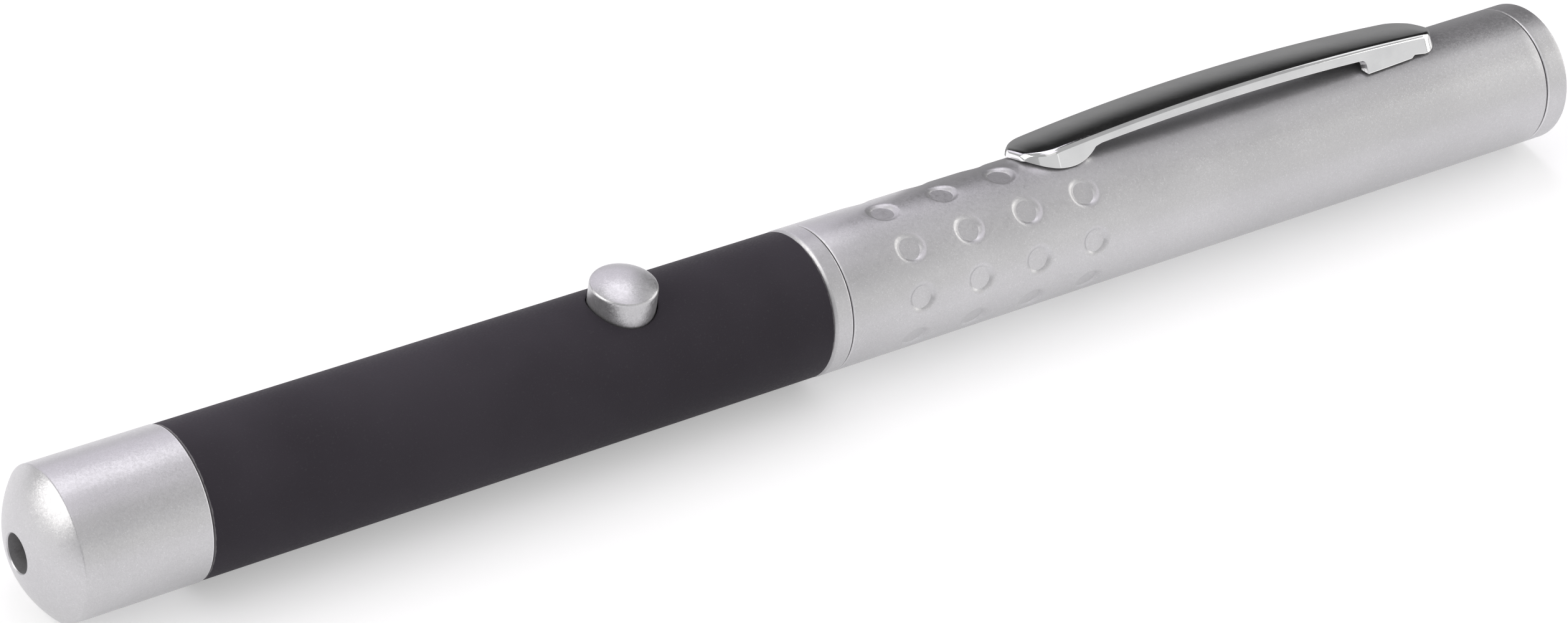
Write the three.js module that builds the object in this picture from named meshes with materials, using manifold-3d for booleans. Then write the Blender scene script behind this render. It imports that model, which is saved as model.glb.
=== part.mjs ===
// A pen-shaped laser pointer that runs on two AAA-size cells, in millimetres, +Z up.
// It lies along X with its nose at -X and stands with its underside on z = 0, the push button on top.
// Inside the pen's own group, x = 0 is the seam between the two halves and the axis is y = z = 0.
import * as THREE from 'three';
import { mergeVertices } from 'three/addons/utils/BufferGeometryUtils.js';
import Module from 'manifold-3d';

const wasm = await Module();
wasm.setup();

// Fits
const seatGap = 0.1; // between two faces that rest on each other
const fitGap = 0.15; // radial room between nested round pieces
const cutOverrun = 1; // how far a cutting shape runs past what it cuts

// Cells, which set the bore of the pen
const cellRadius = 5.15;
const cellLength = 44.5; // over the nub
const cellEdge = 0.5; // rounding of the can's ends
const nubRadius = 1.9;
const nubHeight = 1;
const cellRoom = 0.25; // radial room round a cell
const cellReach = 13.5; // how far the front cell stands into the front half

// Tubes
const sleeveWall = 0.35;
const tubeWall = 0.6;
const paintStep = 0.05; // how far the black tube lies below the silver pieces
const sleeveInner = cellRadius + cellRoom;
const sleeveOuter = sleeveInner + sleeveWall;
const tubeInner = sleeveOuter + fitGap;
const barrelRadius = tubeInner + tubeWall;
const edgeBreak = 0.12; // small bevel on the ends of the tubes
const blackLength = 59.5;

// Coupling ring between the halves
const ringWidth = 1.8;
const ringBevel = 0.25;
const ringSpigot = 8; // pressed into the front tube
const ringSleeve = 7.5; // screwed into the rear tube

// Nose
const noseLength = 11.15; // straight part
const domeHeight = 2.57;
const domeBulge = 0.39; // how far the dome swells from a straight cone
const domeEdge = 0.9; // rounding where the dome starts
const apertureRadius = 1.65;
const apertureBevel = 0.3;
const noseFloor = 2.6; // metal between the tip and the module
const noseSpigot = 4.5;

// Laser module
const moduleRadius = 4.6;
const moduleWall = 0.65;
const moduleBevel = 0.3;
const moduleTail = 2.4; // bore behind the diode's base
const holderInset = 0.6;
const holderLength = 6;
const holderLip = 0.8;
const holderHole = 2.2;
const lensRadius = 3;
const lensThickness = 2;
const lensCrown = 0.7;
const focusSpringLength = 5.5;
const focusWire = 0.25; // wire radius
const shelfThickness = 1;
const diodeBaseRadius = 2.8;
const diodeBaseHeight = 1.2;
const diodeCanRadius = 2.35;
const diodeCanHeight = 2.3;
const diodeWindowRadius = 0.8;
const diodeWindowDepth = 0.25;
const leadRadius = 0.2;
const leadCircle = 1.27; // radius of the circle that the diode's leads stand on
const leadLap = 2.5; // how far the leads run along the board

// Circuit board and its cradle
const boardThickness = 0.7;
const boardLedge = 0.6; // how far the board rests on each side of the cradle
const cradleWall = 1;
const chipLength = 5;
const chipWidth = 3.9;
const chipHeight = 1.4;
const chipLegReach = 1;
const chipLegWidth = 0.42;
const chipLegPitch = 1.27;
const chipLegThickness = 0.2;
const transistorLength = 2.9;
const transistorWidth = 1.6;
const transistorHeight = 1.1;
const resistorLength = 3.2;
const resistorWidth = 1.6;
const resistorHeight = 0.6;
const capacitorLength = 3.5;
const capacitorWidth = 2.8;
const capacitorHeight = 1.9;

// Front contact
const insulatorThickness = 1.5;
const padRadius = 2.6;
const padThickness = 0.4;
const studRadius = 0.9;

// Push button and the snap switch under it
const buttonOffset = 0.75; // from the disc that holds the front contact to the button's flange
const buttonRadius = 2.9;
const buttonProud = 1.6; // straight side above the tube
const buttonCrown = 0.62;
const buttonRim = 0.3; // rounding between the side and the crown
const buttonRoom = 0.12; // radial room in the hole
const flangeOverhang = 0.7;
const flangeThickness = 0.7;
const stemLength = 0.22;
const stemRadius = 1.4;
const switchWidth = 6;
const switchFloor = 0.5;
const cavityRadius = 2.4;
const coverThickness = 0.25;
const plungerRadius = 1.6;
const plungerProud = 0.8;
const collarOverhang = 0.5;
const collarThickness = 0.4;
const domeThickness = 0.12;
const domeRise = 0.6;

// Dimples pressed into the rear tube
const dimpleStart = 7.4; // from the seam to the middle of the first ring of dimples
const dimplePitch = 6.3;
const dimpleFloor = 1;
const dimpleShoulder = 0.55; // width of the slope round the floor
const dimpleDepth = 0.3;

// Tail
const springLength = 4.3; // as fitted behind the rear cell
const springWire = 0.3; // wire radius
const springWideRadius = 3.7;
const springNarrowRadius = 2.1;
const springRoom = 0.3;
const grooveWidth = 0.15;
const tailCapThickness = 2.5;
const tailCapEdge = 0.25;
const tailCapSpigot = 4.2;

// Clip: a channel folded from one sheet, in a frame whose z points out through its middle.
// Its rises are measured up from the tube's top line.
const clipLength = 47.7;
const clipSetback = 9.5; // from the end of the rear tube to the clip's heel
const clipSheet = 0.5;
const clipBend = 0.6; // outer radius of the folds
const clipPeakRise = 1.84;
const clipTipRise = 0.74;
const clipHeelRise = 0.86;
const clipPeakSetback = 23.2; // from the heel to the highest point
const clipHalf = 2.68; // half width between the folds, in the middle
const clipTaper = 0.21; // how much less it is towards both ends
const clipCrown = 0.2; // how far the top swells between the folds
const clipNoseHalf = 0.5; // half width between the folds at the blunt tip
const clipNoseLength = 2;
const clipHeelHalf = 0.1;
const clipHeelLength = 2.2;
const clipTipRound = 0.5; // how far the top comes down at the tip
const clipHeelRound = 0.3;
const clipTipClearance = 0.12; // between the tip and the tube's top line
const clipFrontDepth = 0.88; // of the walls below the folds, at the tip
const clipRearDepth = 1.17;
const lobeDepth = 0.85; // how far the lobes reach down beside the tube
const lobeStart = 0.2; // from the tip
const lobeMiddle = 3.8;
const lobeEnd = 6.6;
const lobeFillet = 0.9;
const footLength = 9.65; // from the heel to the front of the foot
const footRelief = 0.45; // rounding of the wall's edge in front of the foot
const lobeGap = 0.12; // between the lobes and the tube
const footGap = 0.24; // between the foot and the tube
const notchStart = 4.2; // from the heel to where the foot's edge steps up
const notchPeak = 3.75;
const notchEnd = 2.5;
const notchGap = 0.4;
const heelCorner = 0.45; // rounding of the heel's lower corner
const tongueSetback = 4.6; // from the heel
const tongueHalf = 1.2;
const tongueRoom = 0.3;
const hookLength = 1.5;
const hookThickness = 0.3;
const hookRoom = 0.2;

// Angles in degrees, and counts
const clipTurn = -22.4; // about X, from the button to the clip
const dimpleTurn = -7.6; // about X, from the button to the first row of dimples
const clipFlare = 15; // how far the clip's walls lean outwards
const dimpleRows = 9;
const dimpleColumns = 4;
const roundSides = 48;
const buttonSides = 36;
const smallSides = 24;
const tinySides = 10;
const dimpleSides = 12;
const cornerSteps = 3;
const springTurns = 4;
const focusTurns = 4;
const coilSteps = 8;
const coilSides = 5;
const chipLegs = 4;
const clipStations = 16;
const clipEndStations = 6;

// Stations along the axis
const cellsFront = -cellReach;
const cellsBack = cellsFront + 2 * cellLength + seatGap;
const tubeEnd = cellsBack + springLength + 2 * seatGap;
const tailFace = tubeEnd + grooveWidth + tailCapThickness;
const blackBack = -ringWidth - seatGap;
const blackFront = blackBack - blackLength;
const noseBack = blackFront - seatGap;
const noseBreak = noseBack - noseLength;
const noseTip = noseBreak - domeHeight;
const moduleFront = noseTip + noseFloor + seatGap;
const holderFront = moduleFront + holderInset;
const holderBack = holderFront + holderLength;
const shelfFront = holderBack + focusSpringLength + 2 * seatGap;
const diodeFront = shelfFront + shelfThickness + seatGap;
const diodeBack = diodeFront + diodeBaseHeight;
const moduleBack = diodeBack + moduleTail;
const insulatorBack = cellsFront - padThickness - 2 * seatGap;
const insulatorFront = insulatorBack - insulatorThickness;
const boardBack = insulatorFront - seatGap;
const boardFront = moduleBack + seatGap;
const flangeRadius = buttonRadius + flangeOverhang;
const buttonX = insulatorFront - buttonOffset - flangeRadius;

// Heights above the axis round the board, the switch and the button
const boardTop = -leadRadius - seatGap;
const boardBottom = boardTop - boardThickness;
const flangeTop = Math.sqrt(tubeInner ** 2 - flangeRadius ** 2) - fitGap;
const flangeBottom = flangeTop - flangeThickness;
const stemBottom = flangeBottom - stemLength;
const plungerTop = stemBottom - seatGap;
const coverTop = plungerTop - plungerProud;
const coverBottom = coverTop - coverThickness;
const switchTop = coverBottom - seatGap;
const switchBottom = boardTop + seatGap;
const cavityBottom = switchBottom + switchFloor;
const domeBottom = cavityBottom + seatGap;
const collarBottom = domeBottom + domeRise + seatGap;

const silver = { color: 0xc9c9cc, roughness: 0.42, metalness: 0.9 };
const black = { color: 0x38363a, roughness: 0.78, metalness: 0 };
const chrome = { color: 0xe6e6ea, roughness: 0.08, metalness: 1 };
const brass = { color: 0xb8964a, roughness: 0.35, metalness: 1 };
const nickel = { color: 0xc4c2bd, roughness: 0.3, metalness: 1 };
const glass = { color: 0xdfe8ee, roughness: 0.05, metalness: 0, transparent: true, opacity: 0.35 };
const board = { color: 0x1f5a35, roughness: 0.55, metalness: 0 };
const moulding = { color: 0x2a2a2d, roughness: 0.6, metalness: 0 };
const ceramic = { color: 0xb49a72, roughness: 0.6, metalness: 0 };
const label = { color: 0x9a9ea6, roughness: 0.4, metalness: 0.4 };

// A closed solid: shared corners merged, empty faces dropped, faces turned outwards.
function solidOf(geometry) {
  const bare = geometry.index ? geometry.toNonIndexed() : geometry.clone();
  bare.deleteAttribute('normal');
  bare.deleteAttribute('uv');
  const merged = mergeVertices(bare);
  const corners = merged.attributes.position.array;
  const faces = [];
  for (let i = 0; i < merged.index.count; i += 3) {
    const [a, b, c] = merged.index.array.slice(i, i + 3);
    if (a !== b && b !== c && c !== a) faces.push([a, b, c]);
  }
  const at = (i) => new THREE.Vector3().fromArray(corners, 3 * i);
  const volume = faces.reduce((sum, [a, b, c]) => sum + at(a).dot(at(b).cross(at(c))), 0);
  const outward = volume < 0 ? faces.map(([a, b, c]) => [a, c, b]) : faces;
  const mesh = new wasm.Mesh({
    numProp: 3,
    vertProperties: new Float32Array(corners),
    triVerts: new Uint32Array(outward.flat()),
  });
  return new wasm.Manifold(mesh);
}

function geometryOf(solid) {
  const { vertProperties, triVerts, numProp } = solid.getMesh();
  const indexed = new THREE.BufferGeometry();
  const places = new Float32Array((vertProperties.length / numProp) * 3);
  for (let i = 0; i < places.length; i += 1) {
    places[i] = vertProperties[Math.floor(i / 3) * numProp + (i % 3)];
  }
  indexed.setAttribute('position', new THREE.BufferAttribute(places, 3));
  indexed.setIndex(new THREE.BufferAttribute(new Uint32Array(triVerts), 1));
  const flat = indexed.toNonIndexed();
  flat.computeVertexNormals();
  return flat;
}

const cut = (body, ...tools) => tools.reduce((left, tool) => left.subtract(tool), body);
const join = (...bodies) => bodies.reduce((whole, body) => whole.add(body));

// Corners of an outline given as [x, y, rounding]: each rounding becomes an arc of a few steps.
function rounded(corners) {
  return corners.flatMap(([x, y, radius = 0], i) => {
    const here = new THREE.Vector2(x, y);
    if (radius === 0) return [here];
    const last = corners.length - 1;
    const [bx, by] = corners[i === 0 ? last : i - 1];
    const [ax, ay] = corners[i === last ? 0 : i + 1];
    const back = new THREE.Vector2(bx, by).sub(here);
    const ahead = new THREE.Vector2(ax, ay).sub(here);
    const half = back.angleTo(ahead) / 2;
    const reach = Math.min(radius / Math.tan(half), back.length() / 2, ahead.length() / 2);
    const from = here.clone().addScaledVector(back.normalize(), reach);
    const to = here.clone().addScaledVector(ahead.normalize(), reach);
    const centre = here.clone().lerp(from.clone().add(to).divideScalar(2), 1 / Math.cos(half) ** 2);
    const start = from.clone().sub(centre);
    const sweep = Math.atan2(start.cross(to.clone().sub(centre)), start.dot(to.clone().sub(centre)));
    return Array.from({ length: cornerSteps + 1 }, (_, k) =>
      start.clone().rotateAround(new THREE.Vector2(), (sweep * k) / cornerSteps).add(centre));
  });
}

// The arc between two points that swells by the given amount to the left of the way from a to b.
function bulged(a, b, bulge, steps) {
  const chord = b.clone().sub(a);
  const radius = (chord.length() ** 2 / 4 + bulge ** 2) / (2 * bulge);
  const left = new THREE.Vector2(-chord.y, chord.x).normalize();
  const centre = a.clone().add(b).divideScalar(2).addScaledVector(left, bulge - radius);
  const start = a.clone().sub(centre);
  const sweep = -2 * Math.asin(chord.length() / 2 / radius);
  return Array.from({ length: steps + 1 }, (_, k) =>
    start.clone().rotateAround(new THREE.Vector2(), (sweep * k) / steps).add(centre));
}

// A profile of [along, radius] points turned about its axis, which then points along X or Z.
function turned(profile, axis = 'x', sides = roundSides) {
  const points = profile.map((p) => new THREE.Vector2(Math.max(p.y, 0), p.x));
  const geometry = new THREE.LatheGeometry(points, sides);
  if (axis === 'x') geometry.rotateZ(-Math.PI / 2);
  else geometry.rotateX(Math.PI / 2);
  return solidOf(geometry);
}

const closed = (outline) => [...outline, outline[0].clone()];
const turnedLoop = (corners, axis, sides) => turned(closed(rounded(corners)), axis, sides);
const turnedSolid = (corners, axis, sides) => turned(rounded(corners), axis, sides);

// A plain round bar along its axis from one station to another.
const bar = (radius, from, to, axis = 'x', sides = roundSides) =>
  turnedSolid([[from, 0], [from, radius], [to, radius], [to, 0]], axis, sides);

// An outline drawn in y and z and carried along X.
function prismAlongX(shape, from, to) {
  const geometry = new THREE.ExtrudeGeometry(shape, {
    depth: to - from,
    bevelEnabled: false,
    curveSegments: smallSides / 2,
  });
  const axes = new THREE.Matrix4().makeBasis(
    new THREE.Vector3(0, 1, 0),
    new THREE.Vector3(0, 0, 1),
    new THREE.Vector3(1, 0, 0),
  );
  return solidOf(geometry.applyMatrix4(axes).translate(from, 0, 0));
}

// A block centred on x and y that stands on z = bottom.
function block(length, width, height, x = 0, y = 0, bottom = 0) {
  const geometry = new THREE.BoxGeometry(length, width, height);
  return solidOf(geometry.translate(x, y, bottom + height / 2));
}

// A skin of quads through rings with the same number of points, closed by a fan at each end.
function lofted(rings) {
  const count = rings[0].length;
  const places = rings.flat().flatMap((p) => [p.x, p.y, p.z]);
  const faces = [];
  for (let r = 0; r + 1 < rings.length; r += 1) {
    for (let k = 0; k < count; k += 1) {
      const next = (k + 1) % count;
      const [a, b, c, d] = [r * count + k, r * count + next, (r + 1) * count + next, (r + 1) * count + k];
      faces.push(a, b, c, a, c, d);
    }
  }
  [0, rings.length - 1].forEach((r) => {
    const middle = places.length / 3;
    const centre = rings[r].reduce((sum, p) => sum.add(p), new THREE.Vector3()).divideScalar(count);
    places.push(centre.x, centre.y, centre.z);
    for (let k = 0; k < count; k += 1) {
      const [a, b] = [r * count + k, r * count + ((k + 1) % count)];
      faces.push(...(r === 0 ? [middle, b, a] : [middle, a, b]));
    }
  });
  const geometry = new THREE.BufferGeometry();
  geometry.setAttribute('position', new THREE.Float32BufferAttribute(places, 3));
  geometry.setIndex(faces);
  return solidOf(geometry);
}

// A wire wound about X from one station to another, its coil widening from one radius to the other.
class Coil extends THREE.Curve {
  constructor(from, to, startRadius, endRadius, turns) {
    super();
    Object.assign(this, { from, to, startRadius, endRadius, turns });
  }

  getPoint(share) {
    const angle = 2 * Math.PI * this.turns * share;
    const radius = THREE.MathUtils.lerp(this.startRadius, this.endRadius, share);
    const along = THREE.MathUtils.lerp(this.from, this.to, share);
    return new THREE.Vector3(along, radius * Math.cos(angle), radius * Math.sin(angle));
  }
}

// Least clear space between turns of a coil, measured on its points.
function coilGap(coil, wire) {
  const steps = coil.turns * coilSteps;
  const points = Array.from({ length: steps + 1 }, (_, k) => coil.getPoint(k / steps));
  let least = Infinity;
  points.forEach((p, i) => {
    points.slice(i + coilSteps / 2).forEach((q) => {
      least = Math.min(least, p.distanceTo(q) - 2 * wire);
    });
  });
  return least;
}

function wound(name, coil, wire) {
  const outline = new THREE.Shape(
    Array.from({ length: coilSides }, (_, k) => {
      const angle = (2 * Math.PI * k) / coilSides;
      return new THREE.Vector2(wire * Math.cos(angle), wire * Math.sin(angle));
    }),
  );
  const steps = coil.turns * coilSteps;
  const geometry = new THREE.ExtrudeGeometry(outline, { steps, extrudePath: coil, bevelEnabled: false });
  console.log(name + ': least gap between turns ' + coilGap(coil, wire).toFixed(2) + ' mm');
  return solidOf(geometry);
}

function piece(name, solid, finish) {
  const mesh = new THREE.Mesh(geometryOf(solid), new THREE.MeshStandardMaterial(finish));
  mesh.name = name;
  return mesh;
}

function noseCap() {
  const boreRadius = moduleRadius + fitGap;
  const rim = new THREE.Vector2(noseTip, apertureRadius + apertureBevel);
  const shoulder = new THREE.Vector2(noseBreak, barrelRadius);
  const domeSteps = 6;
  const dome = bulged(rim, shoulder, domeBulge, domeSteps).slice(0, -1);
  const outline = [
    ...dome.map((p) => [p.x, p.y]),
    [noseBreak, barrelRadius, domeEdge],
    [noseBack - edgeBreak, barrelRadius],
    [noseBack, barrelRadius - edgeBreak],
    [noseBack, sleeveOuter],
    [noseBack + noseSpigot, sleeveOuter],
    [noseBack + noseSpigot, boreRadius],
    [noseTip + noseFloor, boreRadius],
    [noseTip + noseFloor, apertureRadius],
    [noseTip + apertureBevel, apertureRadius],
  ];
  return piece('nose_cap', turnedLoop(outline), silver);
}

function lensHolder() {
  const outer = moduleRadius - moduleWall - fitGap;
  const outline = [
    [holderFront, holderHole],
    [holderFront, outer],
    [holderBack, outer],
    [holderBack, lensRadius + fitGap],
    [holderFront + holderLip, lensRadius + fitGap],
    [holderFront + holderLip, holderHole],
  ];
  return piece('lens_holder', turnedLoop(outline, 'x', smallSides), brass);
}

function collimatingLens() {
  const back = holderFront + holderLip + seatGap;
  const edge = new THREE.Vector2(back + lensThickness - lensCrown, lensRadius);
  const pole = new THREE.Vector2(back + lensThickness, 0);
  const crownSteps = 5;
  const profile = [
    new THREE.Vector2(back, 0),
    new THREE.Vector2(back, lensRadius),
    ...bulged(edge, pole, lensCrown / 4, crownSteps),
  ];
  return piece('collimating_lens', turned(profile, 'x', smallSides), glass);
}

function focusSpring() {
  const middle = (moduleRadius - moduleWall + lensRadius) / 2;
  const coil = new Coil(
    holderBack + seatGap + focusWire,
    shelfFront - seatGap - focusWire,
    middle,
    middle,
    focusTurns,
  );
  return piece('focus_spring', wound('focus_spring', coil, focusWire), nickel);
}

function moduleHousing() {
  const bore = moduleRadius - moduleWall;
  const canBore = diodeCanRadius + fitGap;
  const baseBore = diodeBaseRadius + fitGap;
  const outline = [
    [moduleFront, bore],
    [moduleFront, moduleRadius - moduleBevel],
    [moduleFront + moduleBevel, moduleRadius],
    [moduleBack - moduleBevel, moduleRadius],
    [moduleBack, moduleRadius - moduleBevel],
    [moduleBack, baseBore],
    [shelfFront + shelfThickness, baseBore],
    [shelfFront + shelfThickness, canBore],
    [shelfFront, canBore],
    [shelfFront, bore],
  ];
  return piece('module_housing', turnedLoop(outline, 'x', smallSides), brass);
}

function laserDiode() {
  const canFront = diodeFront - diodeCanHeight;
  const outline = [
    [canFront + diodeWindowDepth, 0],
    [canFront + diodeWindowDepth, diodeWindowRadius],
    [canFront, diodeWindowRadius],
    [canFront, diodeCanRadius, diodeWindowDepth],
    [diodeFront, diodeCanRadius],
    [diodeFront, diodeBaseRadius],
    [diodeBack, diodeBaseRadius],
    [diodeBack, 0],
  ];
  return piece('laser_diode', turnedSolid(outline, 'x', smallSides), nickel);
}

// Two leads lie on top of the board and the third runs under it.
function diodeLeads() {
  const length = boardFront + leadLap - diodeBack - seatGap;
  const places = [[leadCircle, 0], [-leadCircle, 0], [0, -leadCircle]];
  return places.map(([y, z], i) => {
    const lead = piece('diode_lead_' + (i + 1), bar(leadRadius, 0, length, 'x', tinySides), nickel);
    lead.position.set(diodeBack + seatGap, y, z);
    return lead;
  });
}

// The black front tube, with a round hole for the button.
function frontBarrel() {
  const outline = [
    [blackFront, tubeInner],
    [blackFront, barrelRadius - paintStep - edgeBreak],
    [blackFront + edgeBreak, barrelRadius - paintStep],
    [blackBack - edgeBreak, barrelRadius - paintStep],
    [blackBack, barrelRadius - paintStep - edgeBreak],
    [blackBack, tubeInner],
  ];
  const hole = bar(buttonRadius + buttonRoom, 0, barrelRadius + cutOverrun, 'z', smallSides);
  const tube = turnedLoop(outline);
  return piece('front_barrel', cut(tube, hole.translate([buttonX, 0, 0])), black);
}

function cradleInnerHalf() {
  const inner = tubeInner - fitGap - cradleWall;
  return Math.sqrt(inner ** 2 - (boardBottom - seatGap) ** 2);
}

function driverBoard() {
  const width = 2 * (cradleInnerHalf() + boardLedge);
  const length = boardBack - boardFront;
  const solid = block(length, width, boardThickness, (boardBack + boardFront) / 2, 0, boardBottom);
  return piece('driver_board', solid, board);
}

// A half-round trough that the board's long edges rest on.
function boardCarrier() {
  const outer = tubeInner - fitGap;
  const inner = outer - cradleWall;
  const top = boardBottom - seatGap;
  const outerStart = Math.asin(top / outer);
  const innerStart = Math.asin(top / inner);
  const shape = new THREE.Shape();
  shape.absarc(0, 0, outer, outerStart, -Math.PI - outerStart, true);
  shape.absarc(0, 0, inner, -Math.PI - innerStart, innerStart, false);
  return piece('board_carrier', prismAlongX(shape, boardFront, boardBack), moulding);
}

// Parts on the board, placed by shares of the free length between the leads and the switch.
function boardParts() {
  const start = boardFront + leadLap;
  const end = buttonX - switchWidth / 2;
  const sideOf = (share) => share * cradleInnerHalf();
  const place = (mesh, alongShare, sideShare) => {
    mesh.position.set(THREE.MathUtils.lerp(start, end, alongShare), sideOf(sideShare), boardTop + seatGap);
    return mesh;
  };
  const chip = [block(chipLength, chipWidth, chipHeight)];
  for (let k = 0; k < chipLegs; k += 1) {
    const x = (k - (chipLegs - 1) / 2) * chipLegPitch;
    chip.push(block(chipLegWidth, chipWidth + 2 * chipLegReach, chipLegThickness, x));
  }
  const capacitorShare = [0.12, 0.1];
  const chipShare = [0.4, 0];
  const transistorShare = [0.65, -0.3];
  const resistorShare = [0.86, 0.35];
  return [
    place(
      piece('filter_capacitor', block(capacitorLength, capacitorWidth, capacitorHeight), ceramic),
      ...capacitorShare,
    ),
    place(piece('driver_chip', join(...chip), moulding), ...chipShare),
    place(
      piece('drive_transistor', block(transistorLength, transistorWidth, transistorHeight), moulding),
      ...transistorShare,
    ),
    place(
      piece('sense_resistor', block(resistorLength, resistorWidth, resistorHeight), ceramic),
      ...resistorShare,
    ),
  ];
}

function snapSwitch() {
  const housing = cut(
    block(switchWidth, switchWidth, switchTop - switchBottom, 0, 0, switchBottom),
    bar(cavityRadius, cavityBottom, switchTop + cutOverrun, 'z', smallSides),
  );
  const cover = cut(
    block(switchWidth, switchWidth, coverThickness, 0, 0, coverBottom),
    bar(plungerRadius + fitGap, coverBottom - cutOverrun, coverTop + cutOverrun, 'z', smallSides),
  );
  const rimRadius = cavityRadius - fitGap;
  const domeSteps = 4;
  const over = bulged(
    new THREE.Vector2(domeBottom, rimRadius),
    new THREE.Vector2(domeBottom + domeRise, 0),
    domeRise / 4,
    domeSteps,
  ).reverse();
  const under = over.map((p) => new THREE.Vector2(p.x - domeThickness, p.y)).reverse();
  under[0].set(domeBottom, rimRadius - domeThickness * 2);
  const disc = turned([...over, ...under], 'z', smallSides);
  const plunger = turnedSolid([
    [collarBottom, 0],
    [collarBottom, plungerRadius + collarOverhang],
    [collarBottom + collarThickness, plungerRadius + collarOverhang],
    [collarBottom + collarThickness, plungerRadius],
    [plungerTop, plungerRadius],
    [plungerTop, 0],
  ], 'z', smallSides);
  const meshes = [
    piece('switch_base', housing, moulding),
    piece('switch_dome', disc, nickel),
    piece('switch_plunger', plunger, moulding),
    piece('switch_cover', cover, nickel),
  ];
  meshes.forEach((mesh) => mesh.position.setX(buttonX));
  return meshes;
}

// A turned cap: low crown, straight side, a flange that keeps it in the tube and a short stem.
function pushButton() {
  const shoulder = barrelRadius + buttonProud;
  const edge = new THREE.Vector2(shoulder, buttonRadius);
  const pole = new THREE.Vector2(shoulder + buttonCrown, 0);
  const crownSteps = 6;
  const crown = bulged(edge, pole, buttonCrown / 4, crownSteps).slice(1);
  const outline = [
    [stemBottom, 0],
    [stemBottom, stemRadius],
    [flangeBottom, stemRadius],
    [flangeBottom, flangeRadius],
    [flangeTop, flangeRadius],
    [flangeTop, buttonRadius],
    [shoulder, buttonRadius, buttonRim],
    ...crown.map((p) => [p.x, p.y]),
  ];
  const button = piece('push_button', turnedSolid(outline, 'z', buttonSides), silver);
  button.position.setX(buttonX);
  return button;
}

function contactInsulator() {
  const hole = studRadius + seatGap;
  const outline = [
    [insulatorFront, hole],
    [insulatorFront, tubeInner - fitGap],
    [insulatorBack, tubeInner - fitGap],
    [insulatorBack, hole],
  ];
  return piece('contact_insulator', turnedLoop(outline, 'x', smallSides), moulding);
}

function frontContact() {
  const padFront = insulatorBack + seatGap;
  const outline = [
    [insulatorFront, 0],
    [insulatorFront, studRadius],
    [padFront, studRadius],
    [padFront, padRadius],
    [padFront + padThickness, padRadius, padThickness / 2],
    [padFront + padThickness, 0],
  ];
  return piece('front_contact', turnedSolid(outline, 'x', smallSides), nickel);
}

// The silver ring that shows, with a pressed spigot in front and the threaded sleeve behind.
function couplingRing() {
  const outline = [
    [-ringWidth - ringSpigot, sleeveInner],
    [-ringWidth - ringSpigot, sleeveOuter],
    [-ringWidth, sleeveOuter],
    [-ringWidth, barrelRadius - ringBevel],
    [-ringWidth + ringBevel, barrelRadius],
    [-edgeBreak, barrelRadius],
    [0, barrelRadius - edgeBreak],
    [0, sleeveOuter],
    [ringSleeve - edgeBreak, sleeveOuter],
    [ringSleeve, sleeveOuter - edgeBreak],
    [ringSleeve, sleeveInner],
  ];
  return piece('coupling_ring', turnedLoop(outline), silver);
}

function cells() {
  const outline = [
    [0, 0],
    [0, nubRadius, cellEdge / 2],
    [nubHeight, nubRadius],
    [nubHeight, cellRadius, cellEdge],
    [cellLength, cellRadius, cellEdge],
    [cellLength, 0],
  ];
  return ['battery_front', 'battery_rear'].map((name, i) => {
    const cell = piece(name, turnedSolid(outline, 'x', smallSides), label);
    cell.position.setX(cellsFront + i * (cellLength + seatGap));
    return cell;
  });
}

// One shallow dimple: a flat floor and a sloping shoulder, cut inwards along Z.
function dimpleTool() {
  const floor = barrelRadius - dimpleDepth;
  const slope = dimpleShoulder / dimpleDepth;
  return turnedSolid([
    [floor, 0],
    [floor, dimpleFloor],
    [barrelRadius + cutOverrun, dimpleFloor + slope * (dimpleDepth + cutOverrun)],
    [barrelRadius + cutOverrun, 0],
  ], 'z', dimpleSides);
}

const tongueFront = tubeEnd - clipSetback - tongueSetback;

// The rear tube: rings of dimples behind the seam and the slot that the clip's tongue goes through.
function rearBarrel() {
  const outline = [
    [seatGap, tubeInner],
    [seatGap, barrelRadius - edgeBreak],
    [seatGap + edgeBreak, barrelRadius],
    [tubeEnd - edgeBreak, barrelRadius],
    [tubeEnd, barrelRadius - edgeBreak],
    [tubeEnd, tubeInner],
  ];
  const tool = dimpleTool();
  const dimples = [];
  for (let column = 0; column < dimpleColumns; column += 1) {
    for (let row = 0; row < dimpleRows; row += 1) {
      const turn = dimpleTurn + (360 / dimpleRows) * row;
      const x = dimpleStart + column * dimplePitch;
      dimples.push(tool.rotate([turn, 0, 0]).translate([x, 0, 0]));
    }
  }
  const slotLength = clipSheet + 2 * tongueRoom;
  const slot = block(
    slotLength,
    2 * (tongueHalf + tongueRoom),
    barrelRadius + cutOverrun,
    tongueFront - tongueRoom + slotLength / 2,
  );
  return piece('rear_barrel', cut(turnedLoop(outline), ...dimples, slot.rotate([clipTurn, 0, 0])), silver);
}

function tailCap() {
  const flangeFront = tubeEnd + grooveWidth;
  const outline = [
    [tubeEnd, 0],
    [tubeEnd, springWideRadius + springWire + springRoom],
    [tubeEnd - tailCapSpigot, springWideRadius + springWire + springRoom],
    [tubeEnd - tailCapSpigot, sleeveOuter],
    [flangeFront, sleeveOuter],
    [flangeFront, barrelRadius - edgeBreak],
    [flangeFront + edgeBreak, barrelRadius],
    [tailFace, barrelRadius, tailCapEdge],
    [tailFace, 0],
  ];
  return piece('tail_cap', turnedSolid(outline), silver);
}

function tailSpring() {
  const coil = new Coil(
    cellsBack + seatGap + springWire,
    tubeEnd - seatGap - springWire,
    springNarrowRadius,
    springWideRadius,
    springTurns,
  );
  return piece('tail_spring', wound('tail_spring', coil, springWire), nickel);
}

const clipFront = tubeEnd - clipSetback - clipLength;
const clipBack = clipFront + clipLength;
const clipPeak = clipLength - clipPeakSetback;

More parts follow.
